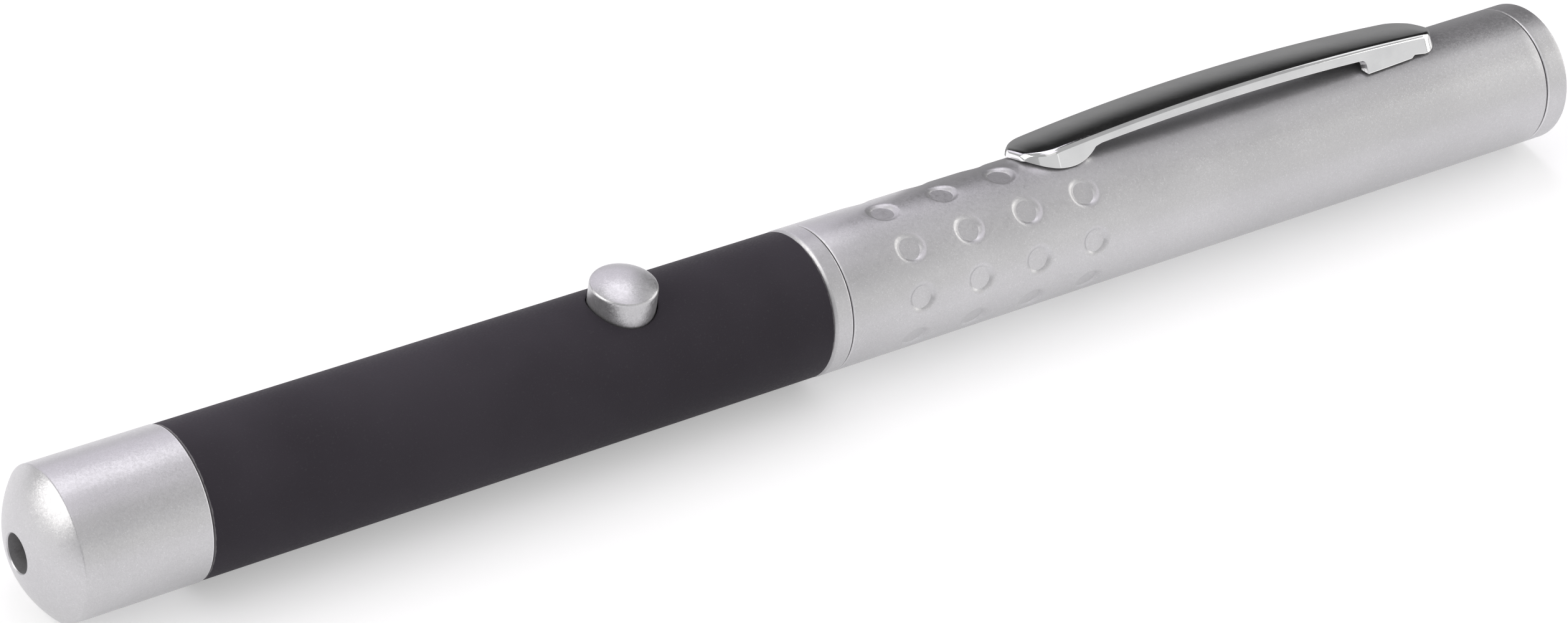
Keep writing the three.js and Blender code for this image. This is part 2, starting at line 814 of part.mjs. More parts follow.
// A quarter of a superellipse, from 0 at the clip's end to 1 where it has its full size.
const swell = (share, power) => (1 - (1 - Math.min(share, 1)) ** power) ** (1 / power);

// Half width between the folds and height of the folds, at a distance from the clip's tip.
function clipSize(along) {
  const fromHeel = clipLength - along;
  const nosePower = 1.3;
  const heelPower = 1.8;
  const full = clipHalf - clipTaper * ((2 * along) / clipLength - 1) ** 2;
  const nose = swell(along / clipNoseLength, nosePower);
  const heel = swell(fromHeel / clipHeelLength, heelPower);
  const half = full - (full - clipNoseHalf) * (1 - nose) - (full - clipHeelHalf) * (1 - heel);
  const endRise = along < clipPeak ? clipTipRise : clipHeelRise;
  const reach = along < clipPeak ? clipPeak : clipPeakSetback;
  const arch = clipPeakRise - (clipPeakRise - endRise) * ((along - clipPeak) / reach) ** 2;
  const drop = clipTipRound * (1 - swell(along / clipTipRound, 2))
    + clipHeelRound * (1 - swell(fromHeel / clipHeelRound, 2));
  return { half, top: barrelRadius + arch - drop };
}

// One section of the folded channel, its walls leaning outwards on their way down to the given height.
// The inner face lies one sheet inside the outer one and has the same centres of its folds.
function clipSection(x, along, sheet, bottom) {
  const { half, top } = clipSize(along);
  const crown = clipCrown * (half / clipHalf) ** 2;
  const radius = clipBend - sheet;
  const flare = THREE.MathUtils.degToRad(clipFlare);
  const crownSteps = 3;
  const foldSteps = 4;
  const foldTop = top - sheet;
  const rightHalf = [];
  for (let k = 0; k <= crownSteps; k += 1) {
    const share = k / crownSteps;
    rightHalf.push([half * share, foldTop + crown * (1 - share ** 2)]);
  }
  for (let k = 1; k <= foldSteps; k += 1) {
    const angle = (Math.PI / 2 - flare) * (k / foldSteps);
    rightHalf.push([half + radius * Math.sin(angle), foldTop - radius * (1 - Math.cos(angle))]);
  }
  const [wallHalf, wallTop] = rightHalf[rightHalf.length - 1];
  rightHalf.push([wallHalf + (wallTop - bottom) * Math.tan(flare), bottom]);
  const leftHalf = rightHalf.slice(1).reverse().map(([y, z]) => [-y, z]);
  return [...leftHalf, ...rightHalf].map(([y, z]) => new THREE.Vector3(x, y, z));
}

// Distances from the tip, close together where the ends are rounded.
function clipDistances() {
  const nose = Array.from({ length: clipEndStations }, (_, k) =>
    clipNoseLength * (k / clipEndStations) ** 2);
  const middle = Array.from({ length: clipStations + 1 }, (_, k) =>
    THREE.MathUtils.lerp(clipNoseLength, clipLength - clipHeelLength, k / clipStations));
  const heel = nose.map((along) => clipLength - (along * clipHeelLength) / clipNoseLength).reverse();
  return [...nose, ...middle, ...heel];
}

// A tool across the whole clip, from an outline drawn in x and z.
function crossTool(outline) {
  const reach = 2 * barrelRadius;
  const geometry = new THREE.ExtrudeGeometry(new THREE.Shape(outline), { depth: reach, bevelEnabled: false });
  return solidOf(geometry.rotateX(Math.PI / 2).translate(0, reach / 2, 0));
}

// All that lies under the walls' lower edge, from the tip over the round lobe to the foot.
function underTool(depth) {
  const wallDepth = (along) => THREE.MathUtils.lerp(clipFrontDepth, clipRearDepth, along / clipLength);
  const at = (along) => new THREE.Vector2(clipFront + along, clipSize(along).top - wallDepth(along));
  const tipBottom = barrelRadius + clipTipClearance;
  const lobeBottom = barrelRadius - lobeDepth;
  const footFront = clipLength - footLength;
  const lobeSteps = 6;
  const edgeSteps = 8;
  const lobeFront = new THREE.Vector2(clipFront + lobeStart, tipBottom);
  const lowest = new THREE.Vector2(clipFront + lobeMiddle, lobeBottom);
  const lobeBack = new THREE.Vector2(clipFront + lobeEnd, at(lobeEnd).y - clipTipClearance);
  const front = bulged(lowest, lobeFront, (tipBottom - lobeBottom) / 4, lobeSteps).reverse();
  const back = bulged(lobeBack, lowest, (lobeBack.y - lobeBottom) / 4, lobeSteps).reverse();
  const edge = Array.from({ length: edgeSteps + 1 }, (_, k) =>
    at(THREE.MathUtils.lerp(lobeEnd + lobeFillet, footFront - 2 * footRelief, k / edgeSteps)));
  const corner = new THREE.Vector2(clipFront + footFront, at(footFront).y);
  return crossTool(rounded([
    [clipFront - cutOverrun, tipBottom],
    ...[...front, ...back.slice(1), ...edge].map((p) => [p.x, p.y]),
    [corner.x, corner.y, footRelief],
    [corner.x, depth],
    [clipFront - cutOverrun, depth],
  ]));
}

// The tube with its room under the lobes and the foot, the notch behind the foot and the heel's corner.
function saddleTool() {
  const footFront = clipBack - footLength - footRelief;
  return turnedSolid([
    [clipFront - cutOverrun, 0],
    [clipFront - cutOverrun, barrelRadius + lobeGap],
    [footFront, barrelRadius + lobeGap],
    [footFront, barrelRadius + footGap],
    [clipBack - notchStart, barrelRadius + footGap],
    [clipBack - notchPeak, barrelRadius + notchGap],
    [clipBack - notchEnd, barrelRadius + footGap],
    [clipBack, barrelRadius + footGap, heelCorner],
    [clipBack, 2 * barrelRadius],
    [clipBack + cutOverrun, 2 * barrelRadius],
    [clipBack + cutOverrun, 0],
  ]);
}

function clip() {
  const bottom = tubeInner - cutOverrun;
  const depth = bottom - cutOverrun;
  const distances = clipDistances();
  const outside = distances.map((along) => clipSection(clipFront + along, along, 0, bottom));
  const inside = distances.map((along) => {
    const x = THREE.MathUtils.lerp(clipFront + clipSheet, clipBack - clipSheet, along / clipLength);
    return clipSection(x, along, clipSheet, depth);
  });
  const channel = cut(
    lofted(outside),
    lofted(inside),
    underTool(depth),
    saddleTool(),
  );
  const hookTop = Math.sqrt(tubeInner ** 2 - tongueHalf ** 2) - hookRoom;
  const hookBottom = hookTop - hookThickness;
  const sheetMiddle = clipSize(tongueFront - clipFront).top - clipSheet / 2;
  const tongueCentre = tongueFront + clipSheet / 2;
  const hookReach = clipSheet + hookLength;
  return piece('clip', join(
    channel,
    block(clipSheet, 2 * tongueHalf, sheetMiddle - hookBottom, tongueCentre, 0, hookBottom),
    block(hookReach, 2 * tongueHalf, hookThickness, tongueFront + hookReach / 2, 0, hookBottom),
  ), chrome);
}

const pen = new THREE.Group();
pen.position.set(-(noseTip + tailFace) / 2, 0, barrelRadius);

const frontHalf = new THREE.Group();
frontHalf.add(
  noseCap(),
  lensHolder(),
  collimatingLens(),
  focusSpring(),
  moduleHousing(),
  laserDiode(),
  ...diodeLeads(),
  frontBarrel(),
  driverBoard(),
  boardCarrier(),
  ...boardParts(),
  ...snapSwitch(),
  pushButton(),
  contactInsulator(),
  frontContact(),
  couplingRing(),
);

const rearHalf = new THREE.Group();
const clipHolder = new THREE.Group();
clipHolder.rotation.x = THREE.MathUtils.degToRad(clipTurn);
clipHolder.add(clip());
rearHalf.add(rearBarrel(), tailCap(), tailSpring(), clipHolder);

pen.add(frontHalf, ...cells(), rearHalf);

export default pen;
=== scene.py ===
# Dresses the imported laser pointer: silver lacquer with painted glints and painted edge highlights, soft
# black and polished chrome.
# Shapes are worked out in millimetres in the pen's own frame: x from the seam, z from the axis.
import math

import bmesh
import bpy
import numpy as np
from mathutils import Matrix, Vector


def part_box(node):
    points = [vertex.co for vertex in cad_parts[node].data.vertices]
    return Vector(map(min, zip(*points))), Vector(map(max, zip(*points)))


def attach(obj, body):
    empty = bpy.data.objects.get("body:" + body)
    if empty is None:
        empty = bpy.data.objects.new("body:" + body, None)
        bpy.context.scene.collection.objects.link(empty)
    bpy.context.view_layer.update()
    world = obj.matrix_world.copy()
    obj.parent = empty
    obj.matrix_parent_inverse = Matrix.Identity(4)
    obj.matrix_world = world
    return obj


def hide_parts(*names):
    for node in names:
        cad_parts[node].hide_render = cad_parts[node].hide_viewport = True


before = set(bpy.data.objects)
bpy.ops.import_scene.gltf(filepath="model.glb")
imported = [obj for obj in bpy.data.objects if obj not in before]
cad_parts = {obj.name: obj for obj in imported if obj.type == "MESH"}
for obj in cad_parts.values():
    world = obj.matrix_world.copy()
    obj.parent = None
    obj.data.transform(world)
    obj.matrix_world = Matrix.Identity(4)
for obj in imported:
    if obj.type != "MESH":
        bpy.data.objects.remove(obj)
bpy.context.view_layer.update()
print("frame loaded:", len(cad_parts), "nodes")

millimetre = 0.001
seamGap = 0.1
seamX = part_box("rear_barrel")[0].x / millimetre - seamGap
axisHeight = (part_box("nose_cap")[0].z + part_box("nose_cap")[1].z) / 2 / millimetre
mergeDistance, flatDistance = 1e-6, 1e-7


# Shapes


def toFrame(points):
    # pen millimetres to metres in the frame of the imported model
    return (np.asarray(points, float) + (seamX, 0, axisHeight)) * millimetre


def station(along):
    # a place along the pen in metres in that frame
    return float(toFrame((along, 0, 0))[0])


def gridFaces(rows, columns):
    # quads between neighbouring rows and columns of a grid whose points run row by row
    r, c = np.meshgrid(np.arange(rows - 1), np.arange(columns - 1), indexing="ij")
    corner = r * columns + c
    return np.stack([corner, corner + 1, corner + columns + 1, corner + columns], -1).reshape(-1, 4)


def sheetPart(points):
    # a grid of points, rows by columns by three, and its quads
    points = np.asarray(points, float)
    return points.reshape(-1, 3), gridFaces(*points.shape[:2])


def stripPart(first, second):
    # quads between two lines that have the same number of points
    return sheetPart(np.stack([first, second]))


def makePiece(name, parts, material, body, replaced, sharp=32):
    # joins the parts, merges their shared points, turns every face outwards and makes the object
    points = np.concatenate([p for p, f in parts])
    starts = np.cumsum([0] + [len(p) for p, f in parts[:-1]])
    faces = [f + s for (p, f), s in zip(parts, starts)]
    sizes = np.concatenate([np.full(len(f), f.shape[1]) for f in faces])
    corners = np.concatenate([f.ravel() for f in faces]).astype(np.int32)
    mesh = bpy.data.meshes.new(name)
    mesh.vertices.add(len(points))
    mesh.vertices.foreach_set("co", toFrame(points).astype(np.float32).ravel())
    mesh.loops.add(len(corners))
    mesh.loops.foreach_set("vertex_index", corners)
    mesh.polygons.add(len(sizes))
    mesh.polygons.foreach_set("loop_start", (np.cumsum(sizes) - sizes).astype(np.int32))
    mesh.update(calc_edges=True)
    shell = bmesh.new()
    shell.from_mesh(mesh)
    bmesh.ops.remove_doubles(shell, verts=shell.verts, dist=mergeDistance)
    bmesh.ops.dissolve_degenerate(shell, edges=shell.edges, dist=flatDistance)
    bmesh.ops.recalc_face_normals(shell, faces=shell.faces)
    shell.to_mesh(mesh)
    shell.free()
    mesh.shade_smooth()
    mesh.set_sharp_from_angle(angle=math.radians(sharp))
    mesh.materials.append(material)
    piece = bpy.data.objects.new(name, mesh)
    bpy.context.scene.collection.objects.link(piece)
    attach(piece, body)
    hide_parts(*replaced)
    print(f"{name}: {len(mesh.polygons)} faces")


def swept(start, angles):
    # the point start turned about the origin by each of the angles
    x, y = start
    return np.stack([x * np.cos(angles) - y * np.sin(angles), x * np.sin(angles) + y * np.cos(angles)], -1)


def bulged(a, b, bulge, steps):
    # points on the arc from a to b that swells by the given amount to the left of the way
    a, b = np.array(a, float), np.array(b, float)
    chord = b - a
    length = np.hypot(*chord)
    radius = (length**2 / 4 + bulge**2) / (2 * bulge)
    left = np.array([-chord[1], chord[0]]) / length
    centre = (a + b) / 2 + left * (bulge - radius)
    return centre + swept(a - centre, -2 * math.asin(length / 2 / radius) * np.linspace(0, 1, steps + 1))


def rounded(corners, steps=5):
    # outline of [along, radius, rounding] corners, each rounding an arc that touches both sides
    outline = []
    for i, corner in enumerate(corners):
        here = np.array(corner[:2], float)
        radius = corner[2] if len(corner) > 2 else 0
        if radius == 0:
            outline.append(here[None])
            continue
        back = np.array(corners[i - 1][:2], float) - here
        ahead = np.array(corners[(i + 1) % len(corners)][:2], float) - here
        backLength, aheadLength = np.hypot(*back), np.hypot(*ahead)
        back, ahead = back / backLength, ahead / aheadLength
        half = math.acos(np.clip(back @ ahead, -1, 1)) / 2
        reach = min(radius / math.tan(half), backLength / 2, aheadLength / 2)
        middle = (back + ahead) / np.hypot(*(back + ahead))
        centre = here + middle * reach * math.tan(half) / math.sin(half)
        start, end = here + back * reach - centre, here + ahead * reach - centre
        sweep = math.atan2(start[0] * end[1] - start[1] * end[0], start @ end)
        outline.append(centre + swept(start, sweep * np.linspace(0, 1, steps + 1)))
    return np.concatenate(outline)


def looped(outline):
    return np.vstack([outline, outline[:1]])


def turnAbout(points, degrees):
    # turns points about the pen's axis
    angle = math.radians(degrees)
    cosine, sine = math.cos(angle), math.sin(angle)
    x, y, z = np.moveaxis(np.asarray(points, float), -1, 0)
    return np.stack([x, y * cosine - z * sine, y * sine + z * cosine], -1)


def ringPoints(along, radius, angle):
    # a point at that angle about the axis, where 0 is straight up and +Y is at minus 90 degrees
    return np.stack([along + 0 * angle, -radius * np.sin(angle), radius * np.cos(angle)], -1)


def turnedPart(outline, sides=144, swell=None, centre=None, firstAngle=0, reach=360):
    # an outline of [along, radius] points carried round the pen's axis, swell adding to the radius,
    # or round an upright axis where centre gives its place
    angle = np.radians(firstAngle + np.linspace(0, reach, sides + 1))[None, :]
    along, radius = outline[:, 0][:, None], outline[:, 1][:, None]
    if centre is not None:
        x, y = centre + radius * np.cos(angle), radius * np.sin(angle)
        return sheetPart(np.stack([x, y, along + 0 * angle], -1))
    return sheetPart(ringPoints(along, radius + (swell(along, angle) if swell else 0 * angle), angle))


def tubeEnd(size, end, inwards, far):
    # outline from a tube's bore over its rounded end to a station on its outside
    arc = np.linspace(math.pi / 2, 0, 6)
    edge = size["edge"]
    curve = np.stack([end + inwards * edge * (1 - np.sin(arc)), size["outer"] - edge * (1 - np.cos(arc))], -1)
    return np.vstack([[[end, size["inner"]]], curve, [[far, size["outer"]]]])


def outlinePart(outline, halfWidth):
    # a closed outline in x and z carried across the pen, with a flat face at each side
    left = np.stack([outline[:, 0], 0 * outline[:, 0] - halfWidth, outline[:, 1]], -1)
    right = left * (1, -1, 1)
    face = np.arange(len(outline))[None]
    return [stripPart(looped(left), looped(right)), (left, face), (right, face[:, ::-1])]


def densified(outline, step):
    # the same outline with a point at least every step along it
    spans = np.hypot(*(outline[1:] - outline[:-1]).T)
    parts = [a + (b - a) * np.linspace(0, 1, max(1, math.ceil(s / step)), endpoint=False)[:, None]
             for a, b, s in zip(outline[:-1], outline[1:], spans)]
    return np.vstack(parts + [outline[-1:]])


def smoothStep(x):
    x = np.clip(x, 0, 1)
    return x * x * (3 - 2 * x)


def threadSwell(start, end, pitch, depth):
    # rises on a helix that climbs one pitch for each turn about the axis, fading out at both ends
    def swell(along, angle):
        wave = np.cos(2 * math.pi * (along / pitch - angle / (2 * math.pi)))
        crest = np.clip(0.5 + 0.75 * wave, 0, 1) - 0.5
        return depth * crest * smoothStep((along - start) / pitch) * smoothStep((end - along) / pitch)
    return swell


def wirePart(path, radius, sides=14, ballSteps=6):
    # a round wire along a path, its ends closed by half balls
    unit = lambda v: v / np.linalg.norm(v, axis=1)[:, None]
    tangent = unit(np.gradient(path, axis=0))
    side = unit(np.cross(tangent, unit(path * (0, 1, 1))))
    outward = np.cross(side, tangent)
    last = len(path) - 1
    tilt = np.linspace(0, math.pi / 2, ballSteps)
    scale = np.concatenate([np.sin(tilt), np.ones(last - 1), np.sin(tilt)[::-1]])
    shift = np.concatenate([-np.cos(tilt), np.zeros(last - 1), np.cos(tilt)[::-1]])
    row = np.concatenate([np.full(ballSteps, 0), np.arange(1, last), np.full(ballSteps, last)])
    angle = np.linspace(0, 2 * math.pi, sides + 1)[None, :, None]
    ring = outward[row][:, None] * np.cos(angle) + side[row][:, None] * np.sin(angle)
    centre = path[row] + tangent[row] * (shift * radius)[:, None]
    return sheetPart(centre[:, None] + ring * (scale * radius)[:, None, None])


# Surface effects, as groups


def addNode(tree, kind, inputs=None, **settings):
    # a shader node with its settings, each input linked to a socket or set to a value
    node = tree.nodes.new("ShaderNode" + kind)
    for key, value in settings.items():
        setattr(node, key, value)
    for key, value in (inputs or {}).items():
        if isinstance(value, bpy.types.NodeSocket):
            tree.links.new(value, node.inputs[key])
        else:
            node.inputs[key].default_value = value
    return node


def maths(tree, operation, a, b=0.0):
    return addNode(tree, "Math", {0: a, 1: b}, operation=operation).outputs[0]


def times(tree, a, b):
    return maths(tree, "MULTIPLY", a, b)


def vectorMaths(tree, operation, a, b, key=1):
    return addNode(tree, "VectorMath", {0: a, key: b}, operation=operation).outputs[0]


def remap(tree, value, fromLow, fromHigh, toLow=0.0, toHigh=1.0):
    return addNode(tree, "MapRange", {
        "Value": value, "From Min": fromLow, "From Max": fromHigh, "To Min": toLow, "To Max": toHigh,
    }, interpolation_type="SMOOTHSTEP").outputs["Result"]


def mixColour(tree, share, a, b):
    return addNode(tree, "Mix", {0: share, 6: a, 7: b}, data_type="RGBA").outputs[2]


def noise(tree, vector, scale, detail, roughness=0.5):
    return addNode(tree, "TexNoise", {
        "Vector": vector, "Scale": scale, "Detail": detail, "Roughness": roughness,
    }).outputs[0]


def partOf(tree, vector, axis="X"):
    return addNode(tree, "SeparateXYZ", {0: vector}).outputs[axis]


def newGroup(name, inputs, outputs):
    # a group with named inputs and outputs, its tree, what it is given and what it puts out
    tree = bpy.data.node_groups.new(name, "ShaderNodeTree")
    for way, sockets in (("INPUT", inputs), ("OUTPUT", outputs)):
        for label, kind in sockets.items():
            tree.interface.new_socket(name=label, in_out=way, socket_type="NodeSocket" + kind)
    return tree, tree.nodes.new("NodeGroupInput").outputs, tree.nodes.new("NodeGroupOutput").inputs


def useGroup(tree, group, inputs):
    return addNode(tree, "Group", inputs, node_tree=group).outputs


def flakeGroup():
    # metal flakes in a clear lacquer: each cell has its own tone and its own small tilt, and a tenth of the
    # cells are marked for painted glints
    tree, given, result = newGroup(
        "lacquerFlakes", {"Position": "Vector", "Flakes Per Metre": "Float", "Tilt": "Float"},
        {"Painted Glint": "Float", "Tone": "Float", "Normal": "Vector"},
    )
    colour = addNode(tree, "TexVoronoi", {
        "Vector": given["Position"], "Scale": given["Flakes Per Metre"],
    }).outputs["Color"]
    parts = addNode(tree, "SeparateColor", {0: colour}).outputs
    centred = vectorMaths(tree, "SUBTRACT", colour, (0.5, 0.5, 0.5))
    surface = addNode(tree, "NewGeometry").outputs["Normal"]
    leaned = vectorMaths(tree, "ADD", surface, vectorMaths(tree, "SCALE", centred, given["Tilt"], "Scale"))
    normal = addNode(tree, "VectorMath", {0: leaned}, operation="NORMALIZE").outputs[0]
    # the cells marked here are painted brighter by the lacquer: painted glints
    tree.links.new(remap(tree, parts[0], 0.9, 1.0), result["Painted Glint"])
    tree.links.new(parts[1], result["Tone"])
    tree.links.new(normal, result["Normal"])
    return tree


def mottleGroup():
    # soft uneven tone from two sizes of noise, between 0 and 1
    tree, given, result = newGroup(
        "softMottle", {"Position": "Vector", "Broad": "Float", "Fine": "Float"},
        {"Tone": "Float", "Grain": "Float"},
    )
    tree.links.new(remap(tree, noise(tree, given["Position"], given["Broad"], 3.0), 0.3, 0.7), result["Tone"])
    tree.links.new(noise(tree, given["Position"], given["Fine"], 2.0, 0.6), result["Grain"])
    return tree


def edgeGroup():
    # a line round the piece, worn paint on the black tube and a painted highlight on the silver parts: 1 at a
    # station along the pen, fading over a ragged width
    tree, given, result = newGroup(
        "wearAndHighlightRing", {"Position": "Vector", "Station": "Float", "Width": "Float", "Ragged": "Float"},
        {"Mask": "Float"},
    )
    wander = maths(tree, "SUBTRACT", noise(tree, given["Position"], 1500.0, 3.0), 0.5)
    along = maths(tree, "SUBTRACT", partOf(tree, given["Position"]), given["Station"])
    away = maths(tree, "ABSOLUTE", maths(tree, "ADD", along, times(tree, wander, given["Ragged"])))
    share = maths(tree, "DIVIDE", away, given["Width"])
    tree.links.new(remap(tree, share, 0.4, 1.0, 1.0, 0.0), result["Mask"])
    return tree


def lathedGroup():
    # fine rings that a turning tool leaves, as a height that varies along the given coordinate
    tree, given, result = newGroup(
        "turnedMarks", {"Along": "Float", "Rings Per Metre": "Float"}, {"Height": "Float"},
    )
    position = addNode(tree, "CombineXYZ", {"X": given["Along"]}).outputs[0]
    tree.links.new(noise(tree, position, given["Rings Per Metre"], 4.0, 0.7), result["Height"])
    return tree


def scratchGroup():
    # hairline scratches along the pen, thin and sparse
    tree, given, result = newGroup(
        "hairlines", {"Position": "Vector", "Stretch": "Vector", "Amount": "Float"}, {"Mask": "Float"},
    )
    stretched = vectorMaths(tree, "MULTIPLY", given["Position"], given["Stretch"])
    away = maths(tree, "ABSOLUTE", maths(tree, "SUBTRACT", noise(tree, stretched, 1.0, 2.0), 0.5))
    tree.links.new(times(tree, remap(tree, away, 0.0, 0.012, 1.0, 0.0), given["Amount"]), result["Mask"])
    return tree


flakes, mottle, wearAndHighlightRing = flakeGroup(), mottleGroup(), edgeGroup()
turnedMarks, hairlines = lathedGroup(), scratchGroup()
print("surface groups ready")


# Finishes


def newMaterial(name, broad, fine, **constants):
    # a material with constants set on its shader, its tree, its coordinates and its mottling
    material = bpy.data.materials.new(name)
    material.use_nodes = True
    tree = material.node_tree
    for key, value in constants.items():
        tree.nodes["Principled BSDF"].inputs[key.replace("_", " ")].default_value = value
    position = addNode(tree, "TexCoord").outputs["Object"]
    clouds = useGroup(tree, mottle, {"Position": position, "Broad": broad, "Fine": fine})
    return material, tree, position, clouds


def shaded(material, **sockets):
    # the material with values linked to its shader
    tree = material.node_tree
    for key, value in sockets.items():
        tree.links.new(value, tree.nodes["Principled BSDF"].inputs[key.replace("_", " ")])
    return material


def bump(tree, height, distance, strength, **normal):
    inputs = {"Height": height, "Distance": distance, "Strength": strength, **normal}
    return addNode(tree, "Bump", inputs).outputs[0]


def wearAndHighlightEdge(tree, position, shown, along, width, ragged, share, light):
    # the colour shown so far with a line at a station along the pen: worn paint on the black tube, a painted
    # highlight on the silver parts
    mask = useGroup(tree, wearAndHighlightRing, {
        "Position": position, "Station": along, "Width": width, "Ragged": ragged,
    })["Mask"]
    return mixColour(tree, times(tree, mask, share), shown, light)


def silverLacquer(name, roughness=0.40, tilt=0.05, edge=None):
    # warm grey metal lacquer with tilted flakes, a few of them painted brighter as painted glints, and a thin
    # band painted brighter along a turned edge as a painted highlight, which is given as its station, width
    # and share
    material, tree, position, clouds = newMaterial(name, 90.0, 3500.0, Metallic=0.8)
    spots = useGroup(tree, flakes, {"Position": position, "Flakes Per Metre": 12000.0, "Tilt": tilt})
    tone = lambda share: (0.60 * share, 0.595 * share, 0.61 * share, 1)
    colour = mixColour(tree, clouds["Tone"], tone(0.94), tone(1.03))
    grained = mixColour(tree, times(tree, spots["Tone"], 0.3), colour, tone(0.7))
    # painted glints: a few flake cells painted brighter than the lacquer
    shown = mixColour(tree, times(tree, spots["Painted Glint"], 0.2), grained, tone(1.5))
    if edge:
        along, width, share = edge
        # painted highlight: a thin ring painted brighter along the turned edge
        shown = wearAndHighlightEdge(tree, position, shown, station(along), width, width * 0.8, share, tone(1.5))
    return shaded(material, Base_Color=shown,
                  Roughness=remap(tree, clouds["Grain"], 0.3, 0.7, roughness - 0.04, roughness + 0.05),
                  Normal=bump(tree, clouds["Grain"], 0.00001, 0.25, Normal=spots["Normal"]))


def softBlack(name):
    # rubbery black paint: velvety, faintly mottled, with a fine grain, worn at both ends
    material, tree, position, clouds = newMaterial(
        name, 60.0, 5200.0, Sheen_Weight=0.02, Sheen_Roughness=0.5, Sheen_Tint=(0.8, 0.78, 0.85, 1),
        Specular_IOR_Level=0.08,
    )
    colour = mixColour(tree, clouds["Tone"], (0.033, 0.029, 0.036, 1), (0.045, 0.040, 0.049, 1))
    specks = remap(tree, clouds["Grain"], 0.55, 0.75, 0.0, 0.35)
    shown = mixColour(tree, specks, colour, (0.06, 0.058, 0.064, 1))
    for along in (-61.4, -1.9):
        shown = wearAndHighlightEdge(tree, position, shown, station(along), 0.00012, 0.0002, 0.55, (0.32, 0.31, 0.32, 1))
    return shaded(material, Base_Color=shown, Roughness=remap(tree, clouds["Grain"], 0.3, 0.7, 0.52, 0.66),
                  Normal=bump(tree, clouds["Grain"], 0.00003, 0.35))


def polishedChrome(name):
    # mirror plating with hairlines, a few dull specks and the slow waves of pressed sheet
    material, tree, position, clouds = newMaterial(name, 260.0, 2600.0, Metallic=1.0)
    lines = useGroup(tree, hairlines, {
        "Position": position, "Stretch": (160.0, 2600.0, 2600.0), "Amount": 0.5,
    })["Mask"]
    colour = mixColour(tree, clouds["Tone"], (0.80, 0.80, 0.81, 1), (0.88, 0.88, 0.885, 1))
    rough = maths(tree, "ADD", remap(tree, clouds["Grain"], 0.45, 0.8, 0.07, 0.16), times(tree, lines, 0.12))
    shown = mixColour(tree, times(tree, lines, 0.35), colour, (0.66, 0.66, 0.67, 1))
    return shaded(material, Base_Color=shown, Roughness=rough,
                  Normal=bump(tree, clouds["Tone"], 0.00002, 0.25))


def turnedMetal(name, colour, shade, roughness, rings=9000.0):
    # bright metal off the lathe: tool rings, light tarnish
    material, tree, position, clouds = newMaterial(name, 300.0, 4000.0, Metallic=1.0)
    marks = useGroup(tree, turnedMarks, {"Along": partOf(tree, position), "Rings Per Metre": rings})["Height"]
    return shaded(material, Base_Color=mixColour(tree, clouds["Tone"], shade, colour),
                  Roughness=remap(tree, marks, 0.3, 0.7, roughness - 0.05, roughness + 0.08),
                  Normal=bump(tree, marks, 0.00001, 0.4))


def mouldedPlastic(name, colour, spot, roughness):
    # moulded plastic with the spark-eroded grain of its tool
    material, tree, _, clouds = newMaterial(name, 200.0, 6000.0)
    return shaded(material, Base_Color=mixColour(tree, clouds["Grain"], colour, spot),
                  Roughness=remap(tree, clouds["Tone"], 0.0, 1.0, roughness - 0.06, roughness + 0.06),
                  Normal=bump(tree, clouds["Grain"], 0.00002, 0.4))


def solderMask(name):
    # green board with tinned tracks under its mask and a few bare pads
    material, tree, position, clouds = newMaterial(name, 250.0, 5000.0)
    tracks = addNode(tree, "TexBrick", {
        "Vector": position, "Scale": 420.0, "Mortar Size": 0.09, "Mortar Smooth": 0.15, "Bias": 0.0,
        "Brick Width": 1.6, "Row Height": 0.5,
    }, offset=0.35).outputs["Fac"]
    spacing = addNode(tree, "TexVoronoi", {
        "Vector": position, "Scale": 450.0, "Randomness": 0.35,
    }).outputs["Distance"]
    pads = remap(tree, spacing, 0.16, 0.2, 1.0, 0.0)
    green = mixColour(tree, clouds["Tone"], (0.010, 0.085, 0.030, 1), (0.016, 0.115, 0.042, 1))
    lined = mixColour(tree, tracks, green, (0.05, 0.22, 0.07, 1))
    height = maths(tree, "ADD", times(tree, tracks, 0.5), pads)
    return shaded(material, Base_Color=mixColour(tree, pads, lined, (0.62, 0.60, 0.56, 1)),
                  Metallic=times(tree, pads, 0.9),
                  Roughness=remap(tree, clouds["Grain"], 0.3, 0.7, 0.32, 0.45),
                  Normal=bump(tree, height, 0.00003, 0.5))


def ceramicBody(name, nodeName, body, spot, capShare):
    # a small part with a tinned cap at each end of its length
    material, tree, position, clouds = newMaterial(name, 700.0, 7000.0)
    low, high = (corner.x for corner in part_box(nodeName))
    capStart, blend = (high - low) / 2 * (1 - capShare), 0.00005
    away = maths(tree, "ABSOLUTE", maths(tree, "SUBTRACT", partOf(tree, position), (low + high) / 2))
    cap = remap(tree, away, capStart - blend, capStart + blend)
    base = mixColour(tree, clouds["Tone"], body, spot)
    return shaded(material, Base_Color=mixColour(tree, cap, base, (0.66, 0.65, 0.62, 1)),
                  Metallic=times(tree, cap, 0.95),
                  Roughness=remap(tree, clouds["Grain"], 0.3, 0.7, 0.35, 0.55),
                  Normal=bump(tree, clouds["Grain"], 0.00002, 0.3))


